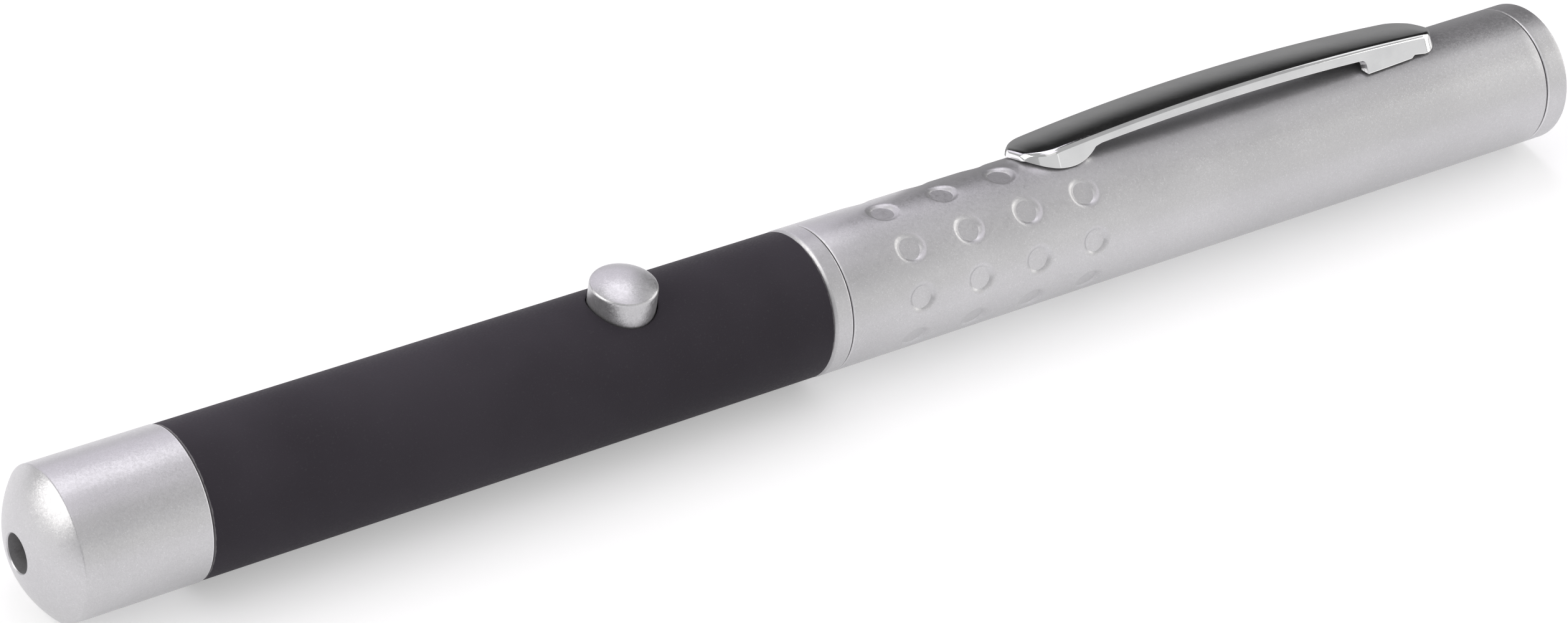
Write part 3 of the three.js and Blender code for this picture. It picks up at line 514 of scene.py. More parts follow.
def cellJacket(name, front, length):
    # shrunk film round a steel can: bare ends, a dark band towards the raised end and a thin line
    material, tree, position, clouds = newMaterial(name, 120.0, 2400.0, Coat_Roughness=0.15)
    share = maths(tree, "DIVIDE", maths(tree, "SUBTRACT", partOf(tree, position), front), length)
    bare = maths(tree, "ADD", remap(tree, share, 0.030, 0.034, 1.0, 0.0), remap(tree, share, 0.984, 0.987))
    film = mixColour(tree, clouds["Tone"], (0.30, 0.315, 0.34, 1), (0.34, 0.355, 0.38, 1))
    for start, full, fading, end in ((0.030, 0.034, 0.27, 0.272), (0.285, 0.287, 0.295, 0.297)):
        band = times(tree, remap(tree, share, start, full), remap(tree, share, fading, end, 1.0, 0.0))
        film = mixColour(tree, band, film, (0.035, 0.04, 0.05, 1))
    return shaded(material, Base_Color=mixColour(tree, bare, film, (0.70, 0.69, 0.67, 1)),
                  Metallic=times(tree, bare, 0.95),
                  Coat_Weight=maths(tree, "SUBTRACT", 0.5, times(tree, bare, 0.5)),
                  Roughness=remap(tree, clouds["Grain"], 0.3, 0.7, 0.26, 0.38),
                  Normal=bump(tree, clouds["Tone"], 0.00002, 0.3))


def lensGlass(name):
    # clear moulded lens with a trace of dust
    material, tree, _, clouds = newMaterial(name, 500.0, 3000.0, Transmission_Weight=1.0, IOR=1.52)
    colour = mixColour(tree, clouds["Tone"], (0.93, 0.96, 1.0, 1), (0.97, 0.98, 1.0, 1))
    return shaded(material, Base_Color=colour, Roughness=remap(tree, clouds["Grain"], 0.6, 0.8, 0.02, 0.12))


# each edge given below is a painted highlight, a thin band painted brighter at a seam
noseLacquer = silverLacquer("noseLacquer", 0.36, 0.08, (-61.55, 0.00010, 0.6))
ringLacquer = silverLacquer("ringLacquer", edge=(-0.08, 0.00008, 0.4))
tubeLacquer = silverLacquer("tubeLacquer", edge=(0.18, 0.00008, 0.3))
capLacquer = silverLacquer("capLacquer", edge=(80.33, 0.00010, 0.5))
buttonLacquer = silverLacquer("buttonLacquer", 0.33, 0.08)
softTouch = softBlack("softTouchBlack")
chrome = polishedChrome("polishedChrome")
brass = turnedMetal("turnedBrass", (0.60, 0.40, 0.14, 1), (0.47, 0.30, 0.10, 1), 0.3)
nickel = turnedMetal("platedNickel", (0.66, 0.65, 0.62, 1), (0.58, 0.57, 0.55, 1), 0.28, 5000.0)
springSteel = turnedMetal("drawnWire", (0.62, 0.61, 0.59, 1), (0.50, 0.49, 0.48, 1), 0.3, 14000.0)
darkMoulding = mouldedPlastic("darkMoulding", (0.018, 0.018, 0.020, 1), (0.030, 0.030, 0.033, 1), 0.5)
chipResin = mouldedPlastic("chipResin", (0.012, 0.012, 0.013, 1), (0.024, 0.024, 0.025, 1), 0.42)
boardGreen = solderMask("solderMask")
capacitorBody = ceramicBody("capacitorBody", "filter_capacitor", (0.44, 0.31, 0.17, 1),
                            (0.50, 0.37, 0.22, 1), 0.28)
resistorBody = ceramicBody("resistorBody", "sense_resistor", (0.02, 0.02, 0.022, 1),
                           (0.03, 0.03, 0.034, 1), 0.22)
clearLens = lensGlass("clearLens")

plainNodes = (
    (brass, "lens_holder module_housing"),
    (nickel, "laser_diode diode_lead_1 diode_lead_2 diode_lead_3 switch_dome switch_cover"),
    (darkMoulding, "switch_base switch_plunger board_carrier"),
    (chipResin, "driver_chip drive_transistor"),
    (boardGreen, "driver_board"),
    (resistorBody, "sense_resistor"),
    (capacitorBody, "filter_capacitor"),
)
for finish, nodeNames in plainNodes:
    for nodeName in nodeNames.split():
        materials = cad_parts[nodeName].data.materials
        materials.clear()
        materials.append(finish)
print("finishes ready")


# Nose


nose = {
    "tip": -75.22, "break": -72.65, "back": -61.5, "radius": 6.5, "bulge": 0.39, "edge": 0.9, "backRound": 0.1,
    "aperture": 1.65, "apertureBevel": 0.12, "apertureRound": 0.03, "lipDepth": 0.02, "lipWidth": 0.05,
    "floor": 2.6, "bore": 4.75, "spigot": 4.5, "spigotRadius": 5.75,
}


def noseShell():
    # a swelling dome, the barrel, the spigot and the bore as one outline turned about the axis
    tip, back, radius = nose["tip"], nose["back"], nose["radius"]
    rim = [tip, nose["aperture"] + nose["apertureBevel"]]
    dome = bulged(rim, [nose["break"], radius], nose["bulge"], 28)[:-1]
    corners = [
        [tip + nose["lipDepth"], rim[1] - nose["lipWidth"], 0.0],
        *[[x, r] for x, r in dome],
        [nose["break"], radius, nose["edge"]],
        [back, radius, nose["backRound"]],
        [back, nose["spigotRadius"]],
        [back + nose["spigot"], nose["spigotRadius"], nose["backRound"]],
        [back + nose["spigot"], nose["bore"]],
        [tip + nose["floor"], nose["bore"]],
        [tip + nose["floor"], nose["aperture"]],
        [tip + nose["apertureBevel"], nose["aperture"], nose["apertureRound"]],
    ]
    return turnedPart(looped(rounded(corners, 10)), 160)


makePiece("noseShell", [noseShell()], noseLacquer, "front", ["nose_cap"])


# Black front tube with the button's hole


tube = {
    "front": -61.4, "back": -1.9, "outer": 6.45, "inner": 5.9, "edge": 0.12,
    "buttonX": -19.95, "hole": 3.02, "holeEdge": 0.09, "cellHalf": 5.0, "cellAngle": 45.0,
    "rimShares": (0, 0.01, 0.03, 0.06), "dropShares": (1, 0.55, 0.2, 0), "wideFromShare": 0.12,
    "sides": 144, "alongSteps": 20,
}


def rectangleRim(halfLength, halfAngle, alongSteps, angleSteps):
    # points round the edge of a patch that is unrolled from the tube, as along and angle
    a = np.linspace(-1, 1, alongSteps + 1)[:-1] * halfLength
    t = np.linspace(-1, 1, angleSteps + 1)[:-1] * halfAngle
    return np.concatenate([
        np.stack([a, 0 * a - halfAngle], -1),
        np.stack([0 * t + halfLength, t], -1),
        np.stack([-a, 0 * a + halfAngle], -1),
        np.stack([0 * t - halfLength, -t], -1),
    ])


def holedPatch(radius, shares, drops, patch):
    # rings that widen from a round hole, seen straight down, to the rim of the patch
    angleSteps = round(2 * patch["cellAngle"] / (360 / patch["sides"]))
    rim = rectangleRim(patch["cellHalf"], math.radians(patch["cellAngle"]), patch["alongSteps"], angleSteps)
    way = np.arctan2(rim[:, 1] * radius, rim[:, 0])
    across = np.arcsin(np.clip(patch["hole"] * np.sin(way) / radius, -1, 1))
    hole = np.stack([patch["hole"] * np.cos(way), across], -1)
    rings = hole + (rim - hole) * np.asarray(shares)[:, None, None]
    rings = np.concatenate([rings, rings[:, :1]], 1)
    depth = np.asarray(drops)[:, None]
    return ringPoints(patch["buttonX"] + rings[..., 0], radius - depth, rings[..., 1])


def blackTube():
    # two whole ends, and between them a belt that leaves the button's patch open
    x0, x1 = tube["buttonX"] - tube["cellHalf"], tube["buttonX"] + tube["cellHalf"]
    sides, first, inner = tube["sides"], tube["cellAngle"], tube["inner"]
    outlines = (
        tubeEnd(tube, tube["front"], 1, x0), tubeEnd(tube, tube["back"], -1, x1),
        np.array([[tube["front"], inner], [x0, inner]]), np.array([[x1, inner], [tube["back"], inner]]),
    )
    parts = [turnedPart(outline, sides, firstAngle=first) for outline in outlines]
    along = np.linspace(x0, x1, tube["alongSteps"] + 1)
    reach = 360 - 2 * first
    for radius in (tube["outer"], inner):
        belt = np.stack([along, 0 * along + radius], -1)
        parts.append(turnedPart(belt, round(reach * sides / 360), firstAngle=first, reach=reach))
    wide = np.linspace(tube["wideFromShare"], 1, 10)
    shares = np.concatenate([tube["rimShares"], wide])
    drops = np.concatenate([tube["dropShares"], 0 * wide]) * tube["holeEdge"]
    outerPatch = holedPatch(tube["outer"], shares, drops, tube)
    innerPatch = holedPatch(inner, np.linspace(0, 1, 6), np.zeros(6), tube)
    return parts + [sheetPart(outerPatch), sheetPart(innerPatch), stripPart(outerPatch[0], innerPatch[0])]


makePiece("blackTube", blackTube(), softTouch, "front", ["front_barrel"])


# Push button


button = {
    "x": -19.95, "radius": 2.9, "shoulder": 8.1, "crown": 0.62, "rim": 0.3, "flange": 3.6, "flangeRoom": 0.15,
    "flangeThickness": 0.7, "flangeRound": 0.08, "stem": 1.4, "stemLength": 0.22, "stemRound": 0.05,
    "step": 0.35,
}


def thumbButton():
    # stem, flange under the tube's wall, cap and swelling crown as one outline about an upright axis
    b = button
    flangeTop = math.sqrt(tube["inner"] ** 2 - b["flange"] ** 2) - b["flangeRoom"]
    flangeBottom = flangeTop - b["flangeThickness"]
    stemEnd = flangeBottom - b["stemLength"]
    crown = bulged([b["shoulder"], b["radius"]], [b["shoulder"] + b["crown"], 0], b["crown"] / 4, 24)
    corners = [
        [stemEnd, 0],
        [stemEnd, b["stem"], b["stemRound"]],
        [flangeBottom, b["stem"]],
        [flangeBottom, b["flange"], b["flangeRound"]],
        [flangeTop, b["flange"], b["flangeRound"]],
        [flangeTop, b["radius"]],
        [b["shoulder"], b["radius"], b["rim"]],
        *[[z, r] for z, r in crown[3:]],
    ]
    return turnedPart(densified(rounded(corners, 8), b["step"]), 120, centre=b["x"])


makePiece("thumbButton", [thumbButton()], buttonLacquer, "button", ["push_button"])


# Coupling ring with its spigot and threaded sleeve


ring = {
    "width": 1.8, "radius": 6.5, "bevel": 0.25, "bevelRound": 0.05, "shoulder": 0.12, "edge": 0.1,
    "spigot": 8.0, "spigotRound": 0.08, "outer": 5.75, "inner": 5.4,
    "sleeve": 7.5, "sleeveSlack": 0.05, "sleeveRound": 0.12, "boreRound": 0.05, "step": 0.09,
    "threadStart": 0.3, "threadStop": 0.2, "threadFrom": 5.6, "threadBlend": 0.05,
    "pitch": 0.75, "depth": 0.2,
}


def seamRing():
    # spigot, bevelled ring and sleeve as one outline, on which the thread swells outside the sleeve only
    r = ring
    width, sleeveRadius = r["width"], r["outer"] - r["sleeveSlack"]
    corners = [
        [-width - r["spigot"], r["inner"]],
        [-width - r["spigot"], r["outer"], r["spigotRound"]],
        [-width, r["outer"]],
        [-width, r["radius"] - r["bevel"], r["bevelRound"]],
        [-width + r["bevel"], r["radius"], r["shoulder"]],
        [0, r["radius"], r["edge"]],
        [0, sleeveRadius],
        [r["sleeve"], sleeveRadius, r["sleeveRound"]],
        [r["sleeve"], r["inner"], r["boreRound"]],
    ]
    outline = densified(looped(rounded(corners, 5)), r["step"])
    swell = threadSwell(r["threadStart"], r["sleeve"] - r["threadStop"], r["pitch"], r["depth"])
    outside = smoothStep((outline[:, 1] - r["threadFrom"]) / r["threadBlend"])[:, None]
    return turnedPart(outline, 144, lambda along, angle: swell(along, angle) * outside)


makePiece("seamRing", [seamRing()], ringLacquer, "front", ["coupling_ring"])
print("front half built")


# Dimpled rear tube


rear = {
    "front": 0.1, "back": 80.1, "outer": 6.5, "inner": 5.9, "edge": 0.12, "sides": 144,
    "dimpleStart": 7.4, "pitch": 6.3, "columns": 4, "rows": 9, "turn": -7.6,
    "floor": 1.0, "shoulder": 1.6, "softness": 1.7, "depth": 0.3,
    "floorShares": (0, 0.4, 0.75, 0.93, 0.98, 1.0, 1.03, 1.08, 1.15), "shoulderFrom": 1.22,
    "slotFront": 65.7, "slotBack": 66.8, "slotHalf": 1.5, "slotTurn": -22.4, "slotSpread": 0.3, "slotFade": 3,
    "slotLines": (63.5, 65.7, 66.8, 69), "beforeSlot": 62, "behindSlot": 71, "tailLine": 79,
    "threadEnd": 8.4, "threadPitch": 0.75, "threadDepth": 0.2, "threadFade": 0.2, "threadStep": 0.09,
    "boreLine": 10,
}


def dimpleCell():
    # rings from the middle of a flat floor, over its crisp edge and soft shoulder, to the cell's rim
    outer, floor, shoulder = rear["outer"], rear["floor"], rear["shoulder"]
    perSide = rear["sides"] // rear["rows"]
    rim = rectangleRim(rear["pitch"] / 2, math.pi / rear["rows"], perSide, perSide) * (1, outer)
    way = rim / np.hypot(rim[:, 0], rim[:, 1])[:, None]
    reach = np.concatenate([rear["floorShares"], np.linspace(rear["shoulderFrom"], shoulder, 7)])
    circle = way[None] * reach[:, None, None] * floor
    out = np.linspace(0, 1, 4)[1:, None, None]
    rings = np.concatenate([circle, circle[-1] + (rim - circle[-1]) * out])
    rings = np.concatenate([rings, rings[:, :1]], 1)
    distance = np.hypot(rings[..., 0], rings[..., 1])
    share = np.clip((distance - floor) / (shoulder - floor), 0, 1)
    rise = 1 - (1 - share) ** rear["softness"]
    angle = rings[..., 1] / outer
    high, low = outer * np.cos(angle), outer - rear["depth"]
    z = np.where(distance < shoulder, low + (high - low) * rise, high)
    return np.stack([rings[..., 0], -outer * np.sin(angle), z], -1)


def slottedGrid(along, radius, swell=None):
    # a tube whose lines bend to the edges of the clip's slot, and the slot's place in the grid;
    # the grid's two ends meet below, away from the slot
    step = 2 * math.pi / rear["sides"]
    first = math.radians(rear["turn"] + 180) - math.pi / rear["rows"]
    angle = first + step * np.arange(rear["sides"] + 1)
    middle = math.radians(rear["slotTurn"])
    half, spread = math.asin(rear["slotHalf"] / radius), rear["slotSpread"]
    turned = middle + 2 * math.pi * np.round((angle.mean() - middle) / (2 * math.pi))
    halfSteps = math.asin(rear["slotHalf"] / rear["outer"]) / step
    left, right = (int(round((turned - first) / step + s * halfSteps)) for s in (-1, 1))
    shift = np.interp(angle, [turned - half - spread, angle[left], angle[right], turned + half + spread],
                      [0, turned - half - angle[left], turned + half - angle[right], 0])
    away = np.maximum(rear["slotFront"] - along, along - rear["slotBack"])
    angles = angle[None, :] + shift[None, :] * np.clip(1 - away / rear["slotFade"], 0, 1)[:, None]
    radii = radius + (swell(along[:, None], angles) if swell else 0) + 0 * angles
    row = int(np.argmin(abs(along - rear["slotFront"])))
    return ringPoints(along[:, None], radii, angles), row, left, right


def slottedPart(points, row, left, right):
    # the grid without the quads of the slot
    flat, faces = sheetPart(points)
    r, c = faces[:, 0] // points.shape[1], faces[:, 0] % points.shape[1]
    return flat, faces[~((r == row) & (c >= left) & (c < right))]


def slotRim(points, row, left, right):
    # the slot's edge as a closed line
    pick = np.arange(left, right + 1)
    return looped(np.concatenate([points[row, pick], points[row + 1, pick[::-1]]]))


def dimpledTube():
    start = rear["dimpleStart"] - rear["pitch"] / 2
    end = start + rear["columns"] * rear["pitch"]
    cell = dimpleCell()
    parts = []
    for column in range(rear["columns"]):
        for row in range(rear["rows"]):
            placed = turnAbout(cell, rear["turn"] + row * 360 / rear["rows"])
            parts.append(sheetPart(placed + (rear["dimpleStart"] + column * rear["pitch"], 0, 0)))
    first = rear["turn"] - 180 / rear["rows"]
    for place, inwards, far in ((rear["front"], 1, start), (rear["back"], -1, rear["tailLine"])):
        parts.append(turnedPart(tubeEnd(rear, place, inwards, far), rear["sides"], firstAngle=first))
    plain = np.concatenate([
        np.linspace(end, rear["beforeSlot"], 14), rear["slotLines"],
        np.linspace(rear["behindSlot"], rear["tailLine"], 4),
    ])
    bore = np.concatenate([
        np.arange(rear["front"], rear["threadEnd"] + rear["threadFade"], rear["threadStep"]),
        np.linspace(rear["boreLine"], rear["beforeSlot"], 14), rear["slotLines"],
        np.linspace(rear["behindSlot"], rear["back"], 4),
    ])
    thread = threadSwell(rear["front"] + rear["threadFade"], rear["threadEnd"], rear["threadPitch"],
                         rear["threadDepth"])
    outside, inside = slottedGrid(plain, rear["outer"]), slottedGrid(bore, rear["inner"], thread)
    wall = stripPart(slotRim(*outside), slotRim(*inside))
    return parts + [slottedPart(*outside), slottedPart(*inside), wall]


makePiece("dimpledTube", dimpledTube(), tubeLacquer, "rear_shell", ["rear_barrel"], sharp=40)


# Tail cap


tail = {
    "front": 80.25, "face": 82.75, "radius": 6.5, "edge": 0.25, "lip": 0.12, "tubeEnd": 80.1,
    "spigot": 4.2, "spigotRadius": 5.75, "spigotRound": 0.12, "pocket": 4.3, "pocketRound": 0.08,
    "step": 0.6,
}


def endCap():
    # pocket, spigot and closing face as one outline turned about the axis
    spigotEnd = tail["tubeEnd"] - tail["spigot"]
    corners = [
        [tail["tubeEnd"], 0],
        [tail["tubeEnd"], tail["pocket"]],
        [spigotEnd, tail["pocket"], tail["pocketRound"]],
        [spigotEnd, tail["spigotRadius"], tail["spigotRound"]],
        [tail["front"], tail["spigotRadius"]],
        [tail["front"], tail["radius"], tail["lip"]],
        [tail["face"], tail["radius"], tail["edge"]],
        [tail["face"], 0],
    ]
    return turnedPart(densified(rounded(corners, 7), tail["step"]), 160)


makePiece("endCap", [endCap()], capLacquer, "rear_shell", ["tail_cap"])
print("rear half built")


# Clip folded from one sheet


clip = {
    "front": 22.9, "length": 47.7, "sheet": 0.5, "bend": 0.6, "flare": 15.0, "turn": -22.4, "barrel": 6.5,
    "peakRise": 1.837, "tipRise": 0.74, "heelRise": 0.86, "peakSetback": 23.2,
    "half": 2.68, "taper": 0.21, "crown": 0.2, "crownEase": 0.1,
    "noseHalf": 0.5, "noseLength": 2.0, "nosePower": 1.3, "noseBlend": 0.9,
    "heelHalf": 0.1, "heelLength": 2.2, "heelPower": 1.8, "heelSpacing": 1.6, "heelCorner": 0.45,
    "heelCurlShare": 0.9,
    "tipRound": 0.5, "heelRound": 0.3, "tipClearance": 0.12, "frontDepth": 0.88, "rearDepth": 1.17,
    "lobeDepth": 0.85, "lobeStart": 0.2, "lobeMiddle": 3.8, "lobeEnd": 6.6, "lobeFillet": 0.9,
    "lobeGap": 0.12,
    "footLength": 9.65, "footRelief": 0.45, "footGap": 0.24, "footFrontDepth": 1.2, "footDepth": 2,
    "footEase": 2, "footEaseReach": 4.4,
    "notchGap": 0.4, "notchStart": 4.2, "notchPeak": 3.75, "notchEnd": 2.5,
    "edgeRound": 0.018, "insideRound": 0.02, "edgeShares": (0.6, 0.25, 0.0), "roundShare": 0.4,
    "lastRowShare": 0.97, "least": 1e-6,
    "tongue": 66.0, "tongueHalf": 1.2, "tongueRound": 0.3, "hookLength": 1.5, "hookThickness": 0.3,
    "hookTop": 5.576, "hookRound": 0.1,
}


def swellShare(share, power):
    # a quarter of a superellipse, from 0 at the clip's end to 1 where it has its full size
    return (1 - (1 - np.clip(share, 0, 1)) ** power) ** (1 / power)


def clipSize(along):
    # half width between the folds and height of the folds, at a distance from the tip
    c = clip
    along = np.clip(along, 0, c["length"])
    fromHeel = c["length"] - along
    full = c["half"] - c["taper"] * (2 * along / c["length"] - 1) ** 2
    # averaged over a short stretch, so that the polished wall has no crease where the nose ends
    near = along[..., None] + np.linspace(-1, 1, 15) * np.minimum(along, c["noseBlend"])[..., None]
    nosePart = 1 - swellShare(near / c["noseLength"], c["nosePower"]).mean(-1)
    heelPart = 1 - swellShare(fromHeel / c["heelLength"], c["heelPower"])
    half = full - (full - c["noseHalf"]) * nosePart - (full - c["heelHalf"]) * heelPart
    peak = c["length"] - c["peakSetback"]
    endRise = np.where(along < peak, c["tipRise"], c["heelRise"])
    reach = np.where(along < peak, peak, c["peakSetback"])
    arch = c["peakRise"] - (c["peakRise"] - endRise) * ((along - peak) / reach) ** 2
    drop = (c["tipRound"] * (1 - swellShare(along / c["tipRound"], 2))
            + c["heelRound"] * (1 - swellShare(fromHeel / c["heelRound"], 2)))
    return half, c["barrel"] + arch - drop


def wallEdge(along):
    # height of the walls' lower edge where the sheet hangs free, the walls deepening evenly to the rear
    share = along / clip["length"]
    depth = clip["frontDepth"] + (clip["rearDepth"] - clip["frontDepth"]) * share
    return clipSize(np.asarray(along))[1] - depth


def clipContour():
    # the walls' lower edge as distance from the tip and height, the foot's front face included
    c = clip
    tipBottom, lobeBottom = c["barrel"] + c["tipClearance"], c["barrel"] - c["lobeDepth"]
    lobeBack = [c["lobeEnd"], float(wallEdge(c["lobeEnd"])) - c["tipClearance"]]
    lowest, lobeFront = [c["lobeMiddle"], lobeBottom], [c["lobeStart"], tipBottom]
    frontArc = bulged(lowest, lobeFront, (tipBottom - lobeBottom) / 4, 24)[::-1]
    backArc = bulged(lobeBack, lowest, (lobeBack[1] - lobeBottom) / 4, 24)[::-1]
    curve = np.vstack([frontArc, backArc[1:]])
    tip = c["noseLength"] * np.linspace(0, 1, 17) ** 2
    first = np.concatenate([tip, np.linspace(c["noseLength"], c["lobeEnd"], 34)[1:]])
    lobeEdge = np.interp(first, curve[:, 0], curve[:, 1], left=tipBottom)
    fillet = np.linspace(0, 1, 7)[1:]
    filletAlong = c["lobeEnd"] + c["lobeFillet"] * fillet
    filletEdge = lobeBack[1] + (wallEdge(filletAlong) - lobeBack[1]) * np.sin(fillet * math.pi / 2)
    footFront, relief = c["length"] - c["footLength"], c["footRelief"]
    run = np.linspace(c["lobeEnd"] + c["lobeFillet"], footFront - relief, 96)[1:]
    cornerHeight = float(wallEdge(footFront - relief))
    turn = np.linspace(0, math.pi / 2, 8)[1:]
    cornerAlong = footFront - relief + relief * np.sin(turn)
    cornerEdge = cornerHeight - relief * (1 - np.cos(turn))
    face = np.linspace(cornerEdge[-1], c["barrel"] - c["footFrontDepth"], 5)[1:]
    heel = c["length"] - c["heelLength"] * np.linspace(1, 0, 26) ** c["heelSpacing"]
    notch = c["length"] - np.array([c["notchStart"], c["notchPeak"], c["notchEnd"]])
    sole = np.linspace(footFront, c["length"] - c["heelLength"], 40)[1:-1]
    foot = np.sort(np.concatenate([sole, notch, heel]))
    along = np.concatenate([first, filletAlong, run, cornerAlong, 0 * face + footFront, foot])
    low = 0 * foot + c["barrel"] - c["footDepth"]
    return along, np.concatenate([lobeEdge, filletEdge, wallEdge(run), cornerEdge, face, low])


def clipGap(along):
    # room between the walls and the tube: under the lobes, the foot, its notch and the heel's round corner
    c = clip
    fromHeel = c["length"] - along
    notch = np.interp(fromHeel, [c["notchEnd"], c["notchPeak"], c["notchStart"]],
                      [0, c["notchGap"] - c["footGap"], 0])
    into = c["heelCurlShare"] * np.clip(1 - fromHeel / c["heelCorner"], 0, 1)
    curl = c["heelCorner"] * (1 - np.sqrt(1 - into**2))
    return np.where(fromHeel < c["footLength"] + c["footRelief"], c["footGap"] + notch + curl, c["lobeGap"])


def asColumn(values):
    return values[:, None]


def clipSkin(inset):
    # one skin of the sheet: crown, fold and wall down to the lower edge, for the half at +Y
    c = clip
    share, edge = clipContour()
    footFront = c["length"] - c["footLength"]
    padded = np.concatenate([np.full(6, share[0]), share, np.full(6, share[-1])])
    smoothed = np.convolve(padded, np.ones(13) / 13, "valid")
    near = smoothStep((c["footEaseReach"] - abs(share - footFront)) / c["footEase"])
    top = share + (smoothed - share) * near
    bend, tangent = c["bend"] - inset, math.tan(math.radians(c["flare"]))
    wallAngle = math.radians(90 - c["flare"])
    # crown, a low arch between the folds
    half, high = (asColumn(v) for v in clipSize(top))
    high = high - inset
    lean = np.arctan(2 * c["crown"] * (half / c["half"]) ** 2 / (half + c["crownEase"]))
    k = np.linspace(0, 1, 15)[None, :-1]
    edgeY, edgeZ = half + bend * np.sin(lean), high - bend * (1 - np.cos(lean))
    crownY, crownZ = edgeY * k, edgeZ + edgeY * np.tan(lean) / 2 * (1 - k**2)
    # fold, an arc from the crown's lean to the wall's
    angle = lean + (wallAngle - lean) * np.linspace(0, 1, 17)[None, :]
    foldY, foldZ = half + bend * np.sin(angle), high - bend * (1 - np.cos(angle))

    def wallTop(along):
        halfWidth, height = clipSize(along)
        return halfWidth + bend * math.sin(wallAngle), height - inset - bend * (1 - math.cos(wallAngle))

    # lower edge, where the tube's cylinder may lie above the drawn edge
    bottomY, bottomZ = wallTop(share)
    q = bottomY + tangent * bottomZ
    under = q**2 * tangent**2 - (1 + tangent**2) * (q**2 - (c["barrel"] + clipGap(share)) ** 2)
    cylinder = (q * tangent + np.sqrt(np.maximum(under, 0))) / (1 + tangent**2)
    low = asColumn(np.maximum(edge, np.where(under > 0, cylinder, edge)))
    # wall, straight from the fold down to a small round at its edge
    topZ = foldZ[:, -1:]
    length = np.maximum(topZ - low, 0)
    small = np.minimum(c["insideRound"] if inset else c["edgeRound"], c["roundShare"] * length)
    down = np.append(np.linspace(0, c["lastRowShare"], 9)[1:], 1.0)
    side = np.array(c["edgeShares"])
    wallZ = np.concatenate([topZ - (length - small) * down, low + small * side], 1)
    wallZ = np.where(length > 0, wallZ, topZ)
    fallen = np.where(length > c["least"], (topZ - wallZ) / np.maximum(length, c["least"]), 0)
    wallAlong = asColumn(top) + asColumn(share - top) * fallen
    wY, wZ = wallTop(wallAlong)
    curl = small * np.concatenate([0 * down, 1 - np.sqrt(1 - (1 - side) ** 2)])
    wallY = wY + (wZ - wallZ) * tangent - curl * (-1 if inset else 1)
    # near the tip the lower edge cuts the fold, so the fold stops there
    cutZ = np.maximum(foldZ, low)
    cosine = np.clip(1 - (high - cutZ) / bend, -1, 1)
    cutY = np.where(foldZ < low, half + bend * np.sin(np.arccos(cosine)), foldY)
    wallY = np.where(topZ < low, cutY[:, -1:], wallY)
    wallZ = np.where(topZ < low, cutZ[:, -1:], wallZ)
    x = np.concatenate([np.repeat(asColumn(top), k.size + angle.shape[1], 1), wallAlong], 1)
    x = c["front"] + inset + x * (1 - 2 * inset / c["length"])
    y = np.concatenate([crownY, cutY, wallY], 1)
    return np.stack([x, y, np.concatenate([np.maximum(crownZ, low), cutZ, wallZ], 1)], -1)


def pocketClip():
    # two skins of the sheet, mirrored and joined along their edges, with the tongue and its hook
    c = clip
    skins = []
    for inset in (0.0, c["sheet"]):
        right = clipSkin(inset)
        skins.append(np.concatenate([right[:, :0:-1] * (1, -1, 1), right], 1))
    parts = [sheetPart(s) for s in skins]
    for skin in skins:
        for row in (0, -1):
            half = skin.shape[1] // 2
            parts.append(stripPart(skin[row, : half + 1], skin[row, ::-1][: half + 1]))
    outer, inner = skins
    parts += [stripPart(outer[:, 0], inner[:, 0]), stripPart(outer[:, -1], inner[:, -1])]
    parts += [stripPart(outer[row, [0, -1]], inner[row, [0, -1]]) for row in (0, -1)]
    sheetMiddle = float(clipSize(np.array(c["tongue"] - c["front"]))[1]) - c["sheet"] / 2
    front, back = c["tongue"], c["tongue"] + c["sheet"]
    top, bottom, tip = c["hookTop"], c["hookTop"] - c["hookThickness"], back + c["hookLength"]
    outline = rounded([
        [front, sheetMiddle], [front, bottom, c["tongueRound"]], [tip, bottom, c["hookRound"]],
        [tip, top, c["hookRound"]], [back, top, c["hookRound"]], [back, sheetMiddle],
    ])
    parts += outlinePart(outline, c["tongueHalf"])
    return [(turnAbout(points, c["turn"]), faces) for points, faces in parts]


makePiece("pocketClip", pocketClip(), chrome, "clip", ["clip"], sharp=34)
print("clip folded")


# What the halves hold: cells, springs, lens and contacts


cell = {
    "radius": 5.15, "length": 44.5, "first": -13.5, "gap": 0.1, "nub": 1.9, "nubHeight": 1.0, "nubRound": 0.3,
    "nubDraft": 0.02, "sealFrom": 2.5, "sealInner": 2.7, "sealOuter": 4.3, "crimp": 4.6, "sealHeight": 0.12,
    "crimpRound": 0.1, "shoulder": 0.4, "base": 4.5, "baseInner": 4.2, "baseDepth": 0.15, "step": 1.5,
}


def cellPart(front):
    # raised end, seal, crimped shoulder, can and sunk base as one outline turned about the axis
    c = cell
    up, sealed, end = c["nubHeight"], c["nubHeight"] + c["sealHeight"], c["length"]
    corners = [
        [0, 0], [0, c["nub"], c["nubRound"]], [up, c["nub"] + c["nubDraft"]], [up, c["sealFrom"]],
        [sealed, c["sealInner"]], [sealed, c["sealOuter"]], [up, c["crimp"], c["crimpRound"]],
        [up, c["radius"], c["shoulder"]], [end, c["radius"], c["shoulder"]],
        [end, c["base"], c["crimpRound"]], [end - c["baseDepth"], c["baseInner"]], [end - c["baseDepth"], 0],
    ]
    return turnedPart(densified(rounded(corners, 5), c["step"]) + (front, 0), 96)


for name, node, index in (("frontCell", "battery_front", 0), ("rearCell", "battery_rear", 1)):
    front = cell["first"] + index * (cell["length"] + cell["gap"])
    jacket = cellJacket(name + "Jacket", station(front), cell["length"] * millimetre)
    makePiece(name, [cellPart(front)], jacket, "cells", [node])


